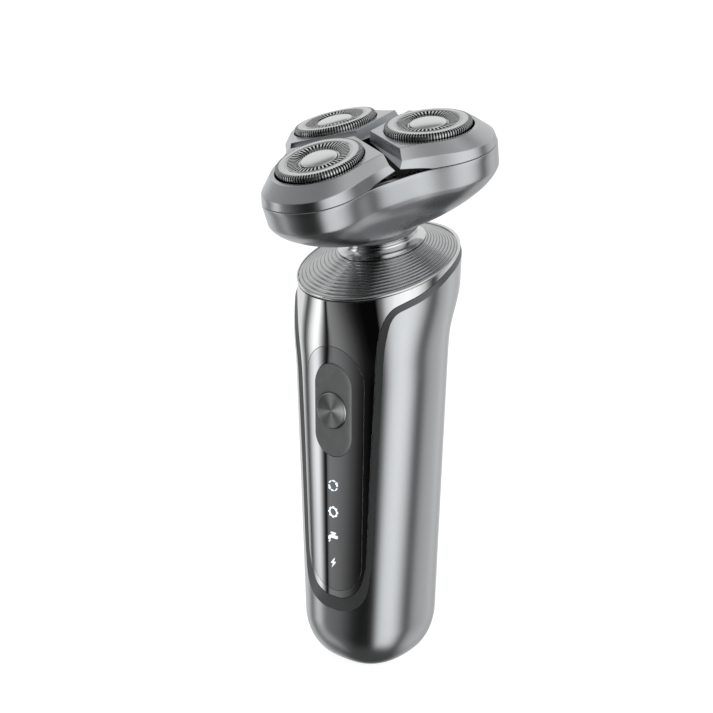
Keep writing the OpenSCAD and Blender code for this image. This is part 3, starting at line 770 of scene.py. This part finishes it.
def rear_shell():
    """The satin shell with its dark sloping band round the chrome panel."""
    patch = Patch(HANDLE_TURNS, HANDLE_HEIGHTS)
    patch.keep(outside_band).keep(lambda phi, z: outside_slot(phi, z) - 0.3).tidy()
    normals = skin_normal(patch.phi, patch.z)
    points = skin_at(patch.phi, patch.z)

    def lips(loop):
        z = patch.z[loop]
        if z.max() < 1e-6:
            rows = []
            centre = points[loop].mean(0)
            for share in (0.75, 0.5, 0.25):
                rows.append((centre + (points[loop] - centre) * share, normals[loop], 0))
            return rows
        if z.max() < 30:
            return 0.3
        distance, i = nearest_on_edge(patch.phi[loop], z)
        turn = (patch.phi[loop] + math.pi) % TAU - math.pi
        side = np.where(turn < 0, -1.0, 1.0)
        away = edge_frame(points, normals, loop)
        slope = PANEL_DEPTH / EDGE_WIDTH[i]
        tilt = normals[loop] + away * slope[:, None]
        tilt /= np.linalg.norm(tilt, axis=1, keepdims=True)
        rows = []
        for t in (0.08, 0.36, 0.68, 1.0):
            phi = (1 - t) * np.abs(turn) + t * EDGE[i, 0] / ARC
            height = (1 - t) * z + t * EDGE[i, 1]
            phi = np.clip(phi, 0, math.pi) * side
            n = skin_normal(phi, height)
            rows.append((skin_at(phi, height) - n * PANEL_DEPTH * t, tilt, 1))
        drop = rows[-1][0] - normals[loop] * 0.7
        rows.append((drop, away, 1))
        return rows

    solid = thick_piece(patch, 0.0, SHELL_WALL, lips)
    return solid.piece("shell_skin", "rear_shell", ["satin_shell", "dark_band"])


def front_panel():
    patch = Patch(HANDLE_TURNS, HANDLE_HEIGHTS[HANDLE_HEIGHTS > 20])
    patch.keep(lambda phi, z: inside_panel(phi, z) - 0.06)
    patch.keep(lambda phi, z: outside_lens(phi, z) - 0.07)
    patch.keep(below_rim(0.68)).tidy()
    solid = thick_piece(patch, PANEL_DEPTH, PANEL_WALL, lambda loop: 0.02)
    return solid.piece("panel_skin", "front_panel", ["dark_chrome"])


def display_lens():
    turns = np.linspace(-0.62, 0.62, 44)
    patch = Patch(turns, np.arange(23.0, 99.0, 0.6))
    patch.keep(lambda phi, z: -outside_lens(phi, z) - 0.09)
    surround = (PILL_LOW, PILL_R), (PILL_HIGH, PILL_R)
    patch.keep(lambda phi, z: pill_distance(skin_at(phi, z)[:, 0], z, *surround) - 0.15).tidy()
    solid = thick_piece(patch, LENS_DEPTH, LENS_WALL,
                        lambda loop: 0.015)
    return solid.piece("lens_skin", "display_lens", ["black_lens"])


# ---------- the controls ----------

BUTTON_Z, BUTTON_R = 78.9, 5.1
PILL_R, PILL_LOW, PILL_HIGH = 6.3, 71.75, 85.8
SURROUND_FACE, SURROUND_BACK = 20.35, 18.7
FRONT = Matrix.Rotation(math.pi / 2, 4, "X")
AT_BUTTON = Matrix.Translation((0, 0, BUTTON_Z * MM)) @ FRONT


def stadium_reach(angle, r, low, high):
    """Distance from the origin to a pill's edge in a direction; low and high are the heights
    of the centres of its round ends."""
    dx, dz = math.cos(angle), math.sin(angle)
    if abs(dx) > 1e-9:
        reach = r / abs(dx)
        if low <= reach * dz <= high:
            return reach
    c = high if dz > 0 else low
    return dz * c + math.sqrt(max((dz * c) ** 2 - c * c + r * r, 0))


def button_surround():
    angles = [TAU * i / 192 for i in range(192)]
    low, high = PILL_LOW - BUTTON_Z, PILL_HIGH - BUTTON_Z

    def pill(inset, y):
        return [(stadium_reach(a, PILL_R - inset, low, high) * math.cos(a),
                 stadium_reach(a, PILL_R - inset, low, high) * math.sin(a), y) for a in angles]

    def hole(r, y):
        return [(r * math.cos(a), r * math.sin(a), y) for a in angles]

    edge = rounded([(1.6, 0), (0.7, 0.02), (0, 0.45), (0, 1.6)], [0, 0.5, 0.3, 0], 4, False)
    rows = [hole(BUTTON_R + 0.1, SURROUND_BACK), hole(BUTTON_R + 0.1, SURROUND_FACE - 0.12),
            hole(BUTTON_R + 0.16, SURROUND_FACE - 0.03), hole(BUTTON_R + 0.28, SURROUND_FACE)]
    rows += [pill(inset, SURROUND_FACE - drop) for inset, drop in edge]
    rows.append(pill(0.1, SURROUND_BACK))
    solid = ring_solid(rows[::-1])
    return solid.piece("surround_pill", "button_surround", ["grey_plastic"], matrix=AT_BUTTON)


def power_button():
    face = 20.8
    profile = [(0, 17.3), (BUTTON_R + 0.8, 17.3), (BUTTON_R + 0.8, 18.2), (BUTTON_R, 18.2),
               (BUTTON_R, face - 0.28), (BUTTON_R - 0.3, face), (BUTTON_R - 0.55, face - 0.02)]
    profile = rounded(profile, [0, 0.1, 0.1, 0.05, 0.12, 0.1, 0], 3, False)
    dish = [(r, face - 0.02 - 0.16 * (1 - (r / (BUTTON_R - 0.55)) ** 2))
            for r in np.linspace(BUTTON_R - 0.9, 0.2, 10)]
    solid = lathe(list(profile) + dish + [(0, face - 0.18)], 96)
    return solid.piece("button_disc", "power_button", ["spun_metal"], 30, AT_BUTTON)


def plate(solid, outline, low, high):
    """Flat plate over an outline of [x, y] corners, anticlockwise."""
    bottom = solid.add([(x, y, low) for x, y in outline])
    top = solid.add([(x, y, high) for x, y in outline])
    solid.face(bottom[::-1])
    solid.face(top)
    solid.band(bottom, top)


def arc_strip(r, width, start, end, steps=10):
    """Outline of a bent strip, from start to end in degrees."""
    def at(radius, share):
        a = math.radians(start + (end - start) * share)
        return radius * math.cos(a), radius * math.sin(a)
    outer = [at(r, k / steps) for k in range(steps + 1)]
    return outer + [at(r - width, k / steps) for k in range(steps, -1, -1)]


ICON_HEIGHTS = (56.8, 48.9, 41.3, 33.5)
ICON_BACK, ICON_FACE = 19.85, 19.95


def icon_lights():
    """Boost, clean, rinse and charge symbols on the lens."""
    solid = Solid()
    boost, clean, rinse, charge = ICON_HEIGHTS

    def draw(outline, height):
        plate(solid, [(x, y + height) for x, y in outline], ICON_BACK, ICON_FACE)

    for k in range(6):
        draw(arc_strip(1.6, 0.26, 60 * k, 60 * k + 38), boost)
        if k % 3 == 0:
            c, s = math.cos(math.radians(60 * k + 38)), math.sin(math.radians(60 * k + 38))
            tip = [(1.15, -0.2), (1.95, -0.2), (1.55, 0.35)]
            draw([(x * c - y * s, x * s + y * c) for x, y in tip], boost)
    for k in range(12):
        draw(arc_strip(1.4, 0.24, 30 * k, 30 * k + 30, 3), clean)
    for k in range(8):
        draw(arc_strip(1.65, 0.28, 45 * k - 9, 45 * k + 9, 3), clean)
    draw(rounded([(-1.7, -1.0), (-1.05, -1.0), (-1.05, -0.25), (1.55, -0.25), (1.55, 0.55),
                  (-1.0, 0.55), (-1.7, 0.0)], 0.3, 4), rinse)
    draw([(-0.3, 0.5), (0.3, 0.5), (0.3, 1.1), (-0.3, 1.1)], rinse)
    draw([(-0.85, 1.05), (0.85, 1.05), (0.85, 1.4), (-0.85, 1.4)], rinse)
    draw([(0.2 * math.cos(a) - 1.37, 0.28 * math.sin(a) - 1.45) for a in np.arange(0, TAU, 0.6)],
         rinse)
    draw([(0.5, 1.55), (-0.85, -0.22), (-0.05, -0.22), (-0.5, -1.55), (0.85, 0.22), (0.05, 0.22)],
         charge)
    return solid.piece("icon_lights", "icon_windows", ["white_icon"], matrix=FRONT)


# ---------- the top of the handle ----------

DECK_R = RIM_R - 0.5
FOOT_RING_R = 12.5
NECK_FOOT_Z = -32.35
DECK_RIDGES = 11
DECK_COLUMNS = 224
DECK_WALL = 1.4
# One terrace: share of its width, and depth below the cone
TERRACE = [(0.0, 0.34), (0.06, 0.32), (0.12, 0.16), (0.18, 0.04), (0.27, 0.0), (0.5, 0.0),
           (0.8, 0.03), (0.9, 0.1), (0.96, 0.28)]


def top_deck():
    """Cone of narrow terraces from the leaning rim up to the neck."""
    low = moved(RIM, circle(DECK_R, -0.1, DECK_COLUMNS))
    high = moved(HEAD, circle(FOOT_RING_R - 0.2, NECK_FOOT_Z - 0.05, DECK_COLUMNS))
    up = np.array(RIM, float)[:3, 2]
    out = low - high
    side = np.cross(out, np.cross(up, out))
    side /= np.linalg.norm(side, axis=1, keepdims=True)
    rows = []
    for ridge in range(DECK_RIDGES):
        for u, drop in TERRACE:
            t = (ridge + u) / DECK_RIDGES
            rows.append(low + (high - low) * t - side * drop)
    rows.append(high - side * TERRACE[0][1])
    rows.append(high - side * DECK_WALL)
    rows.append(low - side * DECK_WALL - out * 0.08)
    rows.append(moved(RIM, circle(DECK_R - 0.02, -1.0, DECK_COLUMNS)))
    solid = ring_solid(rows)
    return solid.piece("deck_cone", "top_deck", ["grooved_metal"], 40)


def rim_ring():
    profile = [(DECK_R + 0.06, -0.5), (RIM_R, -0.5), (RIM_R, -0.1), (RIM_R - 0.14, 0.13),
               (DECK_R + 0.18, 0.13), (DECK_R + 0.06, 0.0)]
    solid = lathe(rounded(profile, 0.07, 3), 256)
    return solid.piece("rim_band", "rim_ring", ["bright_chrome"], 50, RIM)


def neck_collar():
    waist = spline([(FOOT_RING_R, NECK_FOOT_Z + 0.3), (11.35, NECK_FOOT_Z + 0.85), (10.4, -30.5),
                    (10.5, -29.35), (11.2, NECK_Z - 0.12), (11.05, NECK_Z)], 6)
    profile = [(4.8, NECK_FOOT_Z - 6), (9.5, NECK_FOOT_Z - 6), (9.5, NECK_FOOT_Z),
               (FOOT_RING_R, NECK_FOOT_Z)]
    profile += list(waist) + [(8, NECK_Z), (8, -23.4), (7.6, -23), (4.8, -23)]
    return lathe(profile, 192).piece("neck_chrome", "neck_collar", ["bright_chrome"], 40, HEAD)


# ---------- the head ----------

PART_Z = -8.3
COLLAR_R = 12.0
WAIST_R = 21.48
LOBE_R, LOBE_SPREAD = 17.58, 38
FLANK = [(25.6, 14.3), (19.3, 14.7), (15.3, 15.8)]


def turned_by(points, angle):
    c, s = math.cos(math.radians(angle)), math.sin(math.radians(angle))
    return [np.array([p[0] * c - p[1] * s, p[0] * s + p[1] * c, *p[2:]]) for p in points]


def evenly(points, count, to_the_end=True):
    """Points at even spacing along a curve."""
    at = np.concatenate([[0], np.cumsum(np.linalg.norm(np.diff(points, axis=0), axis=1))])
    even = np.linspace(0, at[-1], count, endpoint=to_the_end)
    return np.stack([np.interp(even, at, points[:, k]) for k in (0, 1)], 1)


def three_lobes(r, spread, via, waist_r, passes=26, count=252):
    """Closed outline of evenly spaced, smoothed points: lobes of radius r about the cutters,
    joined through the points "via" to the waist between lobes. The first point is the tip."""
    tip = [(CUTTER_PITCH + r * math.cos(math.radians(spread * k / 3)),
            r * math.sin(math.radians(spread * k / 3))) for k in range(-1, 4)]
    waist = (waist_r * math.cos(TAU / 6), waist_r * math.sin(TAU / 6))
    half = spline(tip + list(via) + [waist], 8)[8:]
    outline = half + turned_by([p * (1, -1) for p in half[-2::-1]], 120)[:-1]
    outline = np.array([p for k in range(3) for p in turned_by(outline, 120 * k)])
    outline = evenly(np.vstack([outline, outline[:1]]), count, False)
    for _ in range(passes):
        outline = (np.roll(outline, 1, 0) + 2 * outline + np.roll(outline, -1, 0)) / 4
    return outline


BASE_OUTLINE = [p for p in turned_by(three_lobes(LOBE_R, LOBE_SPREAD, FLANK, WAIST_R), -90)]


def base_ring(z, share, inset=0.0):
    out = []
    for p in BASE_OUTLINE:
        size = math.hypot(p[0], p[1])
        r = COLLAR_R + (size - COLLAR_R) * share - inset
        out.append((p[0] * r / size, p[1] * r / size, z))
    return out


def head_base():
    """Three-lobed bowl: an upright band over a soft ridge, then a round underside."""
    under = spline([(-27.1, 0), (-24.7, 0.33), (-21.8, 0.6), (-18.6, 0.82), (-16.2, 0.93),
                    (-14.75, 0.972)], 5)
    rows = [base_ring(z, share) for z, share in under]
    rows += [base_ring(-14.45, 0.979), base_ring(-14.1, 0.982)]
    rows += [base_ring(z, 0.982 + 0.018 * (z + 14.1) / (PART_Z + 14.1))
             for z in np.linspace(-13.2, PART_Z - 0.3, 5)]
    for k in range(1, 4):
        a = math.pi / 6 * k
        rows.append(base_ring(PART_Z - 0.3 + 0.3 * math.sin(a), 1, 0.3 * (1 - math.cos(a))))
    rows += [base_ring(PART_Z, 1, 1.6), base_ring(-14.5, 0.96, 1.6), base_ring(-18, 0.8, 1.6),
             base_ring(-21.2, 0.56, 1.5), base_ring(-24.2, 0.22, 1.5), base_ring(-24.4, 0, 2.3),
             base_ring(-27.1, 0, 2.3)]
    solid = ring_solid([moved(HEAD, row) for row in rows])
    return solid.piece("bowl", "head_base", ["head_satin"], 40)


def head_collar():
    low, high = NECK_Z + 0.05, -27.15
    profile = [(8.05, low), (11.3, low), (11.3, high), (9.65, high), (9.65, -22), (8.05, -22)]
    solid = lathe(rounded(profile, [0.05, 0.25, 0.15, 0.05, 0.1, 0.05], 3), 160)
    return solid.piece("bowl_ring", "head_collar", ["grey_plastic"], 40, HEAD)


SEAT_R, SEAT_DROP = 12.0, 1.7
HINGE_X = 18.8
UNDERSIDE = math.radians(15.5)
# Rings of a cutter frame: drop, gap to the sector's side, waist radius, lobe radius, spread, via
FRAME_RINGS = [(SEAT_DROP, 2.35, 19.5, 13.45, 60, [(21.3, 12.9), (17.4, 13.6), (14.4, 14.5)]),
               (4.7, 1.8, 20.3, 17.0, LOBE_SPREAD, [(25.4, 13.9), (19.2, 15.0), (15.2, 15.8)]),
               (6.8, 0.5, 21.42, 17.5, LOBE_SPREAD, FLANK),
               (9.6, 0.4, WAIST_R, LOBE_R, LOBE_SPREAD, FLANK)]
LOBE_STEPS = 44


def frame_ring(drop, side, waist_r, r, spread, via):
    """Outline of one frame: two straight sides from the middle, and its part of the lobes."""
    outline = three_lobes(r, spread, via, waist_r)
    half = outline[:len(outline) // 6 + 1]
    room = half @ np.array([math.sin(TAU / 6), -math.cos(TAU / 6)]) - side
    last = int(np.argmax(room < 0))
    t = room[last - 1] / (room[last - 1] - room[last])
    corner = half[last - 1] + (half[last] - half[last - 1]) * t
    half = np.vstack([half[:last], [corner]])
    half = evenly(half, LOBE_STEPS)
    point = np.array([side / math.sin(TAU / 6), 0.0])
    mirror = corner * (1, -1)
    steps = 14
    ring = [point + (mirror - point) * k / steps for k in range(steps)]
    ring += [p * (1, -1) for p in half[:0:-1]] + list(half)
    ring += [corner + (point - corner) * k / steps for k in range(1, steps)]
    return [np.array([p[0], p[1], height_at(p[0], drop)]) for p in ring]


def height_at(x, drop):
    """Height in the head's frame of a plane a given drop under the cutter's rim plane."""
    return -drop / math.cos(CUTTER_TILT) - (x - CUTTER_PITCH) * math.tan(CUTTER_TILT)


def underside(x):
    return PART_Z + 0.1 + max(0.0, (HINGE_X + 0.5 - x) * math.tan(UNDERSIDE))


def cutter_frame(letter):
    """Wedge with a flat top, a wide bevel, an upright band and an arched underside."""
    top, bevel, band, low = [frame_ring(*ring) for ring in FRAME_RINGS]
    centre = np.array([CUTTER_PITCH, 0])
    columns = []
    for t, v, b, w in zip(top, bevel, band, low):
        for p, q in ((v, b), (b, w)):
            gap_p, gap_q = p[2] - underside(p[0]), q[2] - underside(q[0])
            foot = p
            if gap_q <= 0:
                foot = p + (q - p) * max(gap_p, 0) / max(gap_p - gap_q, 1e-9)
                break
        d = t[:2] - centre
        d /= np.linalg.norm(d)

        def seat(r, drop=None):
            q = centre + d * r
            z = underside(q[0]) if drop is None else height_at(q[0], drop)
            return np.array([q[0], q[1], z])

        lip = seat(SEAT_R + 0.8)
        profile = [seat(SEAT_R, 3.2), seat(SEAT_R, SEAT_DROP), t, v, foot, lip,
                   seat(SEAT_R + 0.8, 3.2)]
        sizes = [0, 0.16, 0.16, 0.2, 0.16, 0.1, 0]
        columns.append(rounded(profile, sizes, 4))
    rows = [list(row) for row in zip(*columns)]
    angle = LETTERS[letter]
    solid = ring_solid([moved(HEAD, turned_by(row, angle)) for row in rows])
    piece = solid.piece(f"petal_{letter}", f"cutter_frame_{letter}", ["head_satin"], 50)
    even = piece.modifiers.new("even", "WEIGHTED_NORMAL")
    even.keep_sharp = True
    even.weight = 100
    return piece


OUTER_SLOTS, INNER_SLOTS, COLUMNS = 96, 48, 480
# Outer cutter's section, outer skin first: [radius, height, which track is slotted below it]
GUARD = [(11.7, -3.6, 0), (11.7, -2.2, 1), (11.7, -1.3, 1), (11.7, -0.8, 1), (11.58, -0.42, 1),
         (11.3, -0.16, 1), (10.95, -0.03, 1), (10.6, 0.0, 0), (9.9, 0.0, 0), (9.3, 0.0, 0),
         (9.12, -0.09, 0), (8.98, -0.36, 0), (8.68, -0.36, 0), (8.52, -0.09, 0), (8.36, -0.02, 2),
         (7.8, 0.0, 2), (7.2, -0.01, 2), (6.6, -0.06, 2), (6.1, -0.2, 2), (5.72, -0.5, 2),
         (5.45, -0.8, 0), (5.1, -0.84, 0)]


def guard(letter):
    """Outer cutter: a cup with two raised tracks, slotted all round."""
    profile = np.array([row[:2] for row in GUARD])
    along = np.gradient(profile, axis=0)
    side = np.stack([along[:, 1], -along[:, 0]], 1)
    side /= np.linalg.norm(side, axis=1, keepdims=True)
    inner = profile - side * 0.3
    solid = Solid()
    turns = [TAU * c / COLUMNS for c in range(COLUMNS)]

    def rows(shape):
        return [solid.add([(r * math.cos(a), r * math.sin(a), z) for a in turns])
                for r, z in shape]

    def is_open(k, c):
        if not 0 <= k < len(GUARD) - 1 or GUARD[k][2] == 0:
            return False
        period = COLUMNS // (OUTER_SLOTS if GUARD[k][2] == 1 else INNER_SLOTS)
        return c % period >= period * 0.4

    # Slot 1, cutter_inside, gives the inner faces, slot walls and ends a near-black painted shade
    top, bottom = rows(profile), rows(inner)
    for k in range(len(GUARD) - 1):
        for c in range(COLUMNS):
            if is_open(k, c):
                continue
            d = (c + 1) % COLUMNS
            near, far = (top[k][c], top[k][d]), (top[k + 1][c], top[k + 1][d])
            low_near, low_far = (bottom[k][c], bottom[k][d]), (bottom[k + 1][c], bottom[k + 1][d])
            solid.face((*near, far[1], far[0]))
            solid.face((low_near[0], *low_far, low_near[1]), None, 1)
            if is_open(k, (c - 1) % COLUMNS):
                solid.face((near[0], far[0], low_far[0], low_near[0]), None, 1)
            if is_open(k, d):
                solid.face((near[1], low_near[1], low_far[1], far[1]), None, 1)
            if is_open(k - 1, c):
                solid.face((near[0], *low_near, near[1]), None, 1)
            if is_open(k + 1, c):
                solid.face((*far, low_far[1], low_far[0]), None, 1)
    solid.band(bottom[0], top[0], slot=1)
    solid.band(top[-1], bottom[-1], slot=1)
    return solid.piece(f"comb_{letter}", f"guard_{letter}", ["cutter_steel", "cutter_inside"], 40,
                       CUTTER[letter])


def guard_cap(letter):
    """Domed cap at the cutter's centre, with a small rolled edge."""
    dome = [(5 * math.cos(a), -0.62 + 1.0 * math.sin(a)) for a in
            np.linspace(0, math.pi / 2, 12)[:-1]]
    profile = [(0, -0.83), (4.9, -0.83), (5.0, -0.75)] + dome + [(0, 0.38)]
    solid = lathe(profile, 96)
    return solid.piece(f"cap_{letter}", f"guard_cap_{letter}", ["cap_satin"], 60, CUTTER[letter])


# ---------- light and floor ----------

# Brightness of the studio by direction, as (turn from the front towards +X, brightness),
# level with the object, well below it and above it
LEVEL = [(-180, 0.62), (-150, 0.85), (-92, 0.9), (-84, 0.45), (-77, 0.08), (-71, 0.3), (-64, 0.95),
         (-57, 1.4), (-52.5, 1.35), (-49, 0.65), (-46, 0.1), (-44.5, 0.005), (-42.8, 0.005),
         (-42, 0.3), (-34, 0.22), (-23, 0.11), (-12, 0.04), (-3, 0.012), (8, 0.003), (30, 0.003),
         (38, 0.22), (46, 0.75), (58, 1.15), (76, 1.3), (92, 1.15), (104, 0.75), (112, 0.3),
         (119, 0.07), (126, 0.12), (134, 0.5), (160, 0.85), (180, 0.62)]
LOW = [(-180, 0.5), (-150, 0.7), (-100, 0.7), (-84, 0.45), (-77, 0.15), (-64, 0.5), (-55, 0.7),
       (-49, 0.35), (-45, 0.02), (-42.8, 0.02), (-42, 0.2), (-30, 0.08), (-15, 0.02), (30, 0.01),
       (38, 0.2), (46, 0.7), (58, 1.05), (84, 1.1), (100, 0.7), (112, 0.2), (122, 0.06),
       (134, 0.5), (160, 0.7), (180, 0.5)]
HIGH = [(-180, 0.85), (-108, 0.85), (-82, 0.5), (-47, 0.36), (0, 0.33), (40, 0.42), (85, 0.75),
        (125, 0.6), (180, 0.85)]
OVERHEAD, BELOW = 0.22, 0.08


def studio():
    """Soft boxes round the object: brightness changes with direction only."""
    world = bpy.data.worlds.new("studio")
    bpy.context.scene.world = world
    world.use_nodes = True
    sky = Nodes(world.node_tree)
    split = sky.add("ShaderNodeSeparateXYZ")
    sky.link(sky.add("ShaderNodeTexCoord").outputs["Generated"], split.inputs[0])
    x, y, height = split.outputs
    turn = sky.math("ARCTAN2", x, sky.math("MULTIPLY", y, -1.0))
    share = sky.math("ADD", sky.math("DIVIDE", turn, TAU), 0.5)

    def between(low, high):
        node = sky.add("ShaderNodeMapRange", interpolation_type="SMOOTHSTEP")
        node.inputs["From Min"].default_value = low
        node.inputs["From Max"].default_value = high
        sky.link(height, node.inputs["Value"])
        return node.outputs[0]

    def blend(part, first, second):
        return sky.math("ADD", sky.math("MULTIPLY", first, sky.math("SUBTRACT", 1.0, part)),
                        sky.math("MULTIPLY", second, part))

    def around(levels):
        brightest = max(level for _, level in levels)
        stops = [((angle + 180) / 360, level / brightest) for angle, level in levels]
        return sky.math("MULTIPLY", sky.ramp(share, stops).outputs["Color"], brightest)

    level = blend(between(-0.62, -0.3), around(LOW), around(LEVEL))
    level = blend(between(0.1, 0.45), level, around(HIGH))
    level = blend(between(0.76, 0.93), level, OVERHEAD)
    level = blend(between(-0.92, -0.72), BELOW, level)
    colour = sky.add("ShaderNodeCombineColor")
    for socket in colour.inputs:
        sky.link(level, socket)
    sky.link(colour.outputs[0], world.node_tree.nodes["Background"].inputs["Color"])


FLOOR_GAP = 0.05


def floor():
    """Pale floor that curves up into a pale backdrop, far from the object."""
    solid = Solid()
    profile = [(r, 0.0) for r in (60, 200, 600, 1400)]
    profile += [(1400 + 900 * math.sin(a), 900 * (1 - math.cos(a)))
                for a in np.linspace(0.15, math.pi / 2, 14)]
    profile.append((2300, 2600))
    rows = [solid.add(circle(r, z - FLOOR_GAP, 96)) for r, z in profile]
    for low, high in zip(rows, rows[1:]):
        solid.band(high, low)
    solid.fan(rows[0], (0, 0, -FLOOR_GAP))
    mesh = solid.mesh("floor")
    obj = bpy.data.objects.new("floor", mesh)
    bpy.context.scene.collection.objects.link(obj)
    pale = Finish("pale_floor", (0.62, 0.62, 0.62), 0.0, 0.9)
    pale.vary_colour(pale.noise(4, 2), 0.004)
    pale.shader.inputs["Specular IOR Level"].default_value = 0.0
    pale.shader.inputs["Emission Color"].default_value = (1, 1, 1, 1)
    pale.shader.inputs["Emission Strength"].default_value = 0.85
    mesh.materials.append(pale.material)
    obj.visible_glossy = False
    obj.visible_diffuse = False
    obj.visible_transmission = False
    obj.visible_shadow = False


# ---------- the assembly ----------

make_camera()
studio()
floor()
bpy.context.scene.view_settings.view_transform = "Standard"

for name, node in frame["nodes"].items():
    node.data.materials.clear()
    node.data.materials.append(MATERIALS["blade_steel" if "blade" in name else SLOT_OF[name]])

rear_shell()
front_panel()
display_lens()
button_surround()
power_button()
icon_lights()
top_deck()
rim_ring()
neck_collar()
head_base()
head_collar()
for letter in LETTERS:
    cutter_frame(letter)
    guard(letter)
    guard_cap(letter)
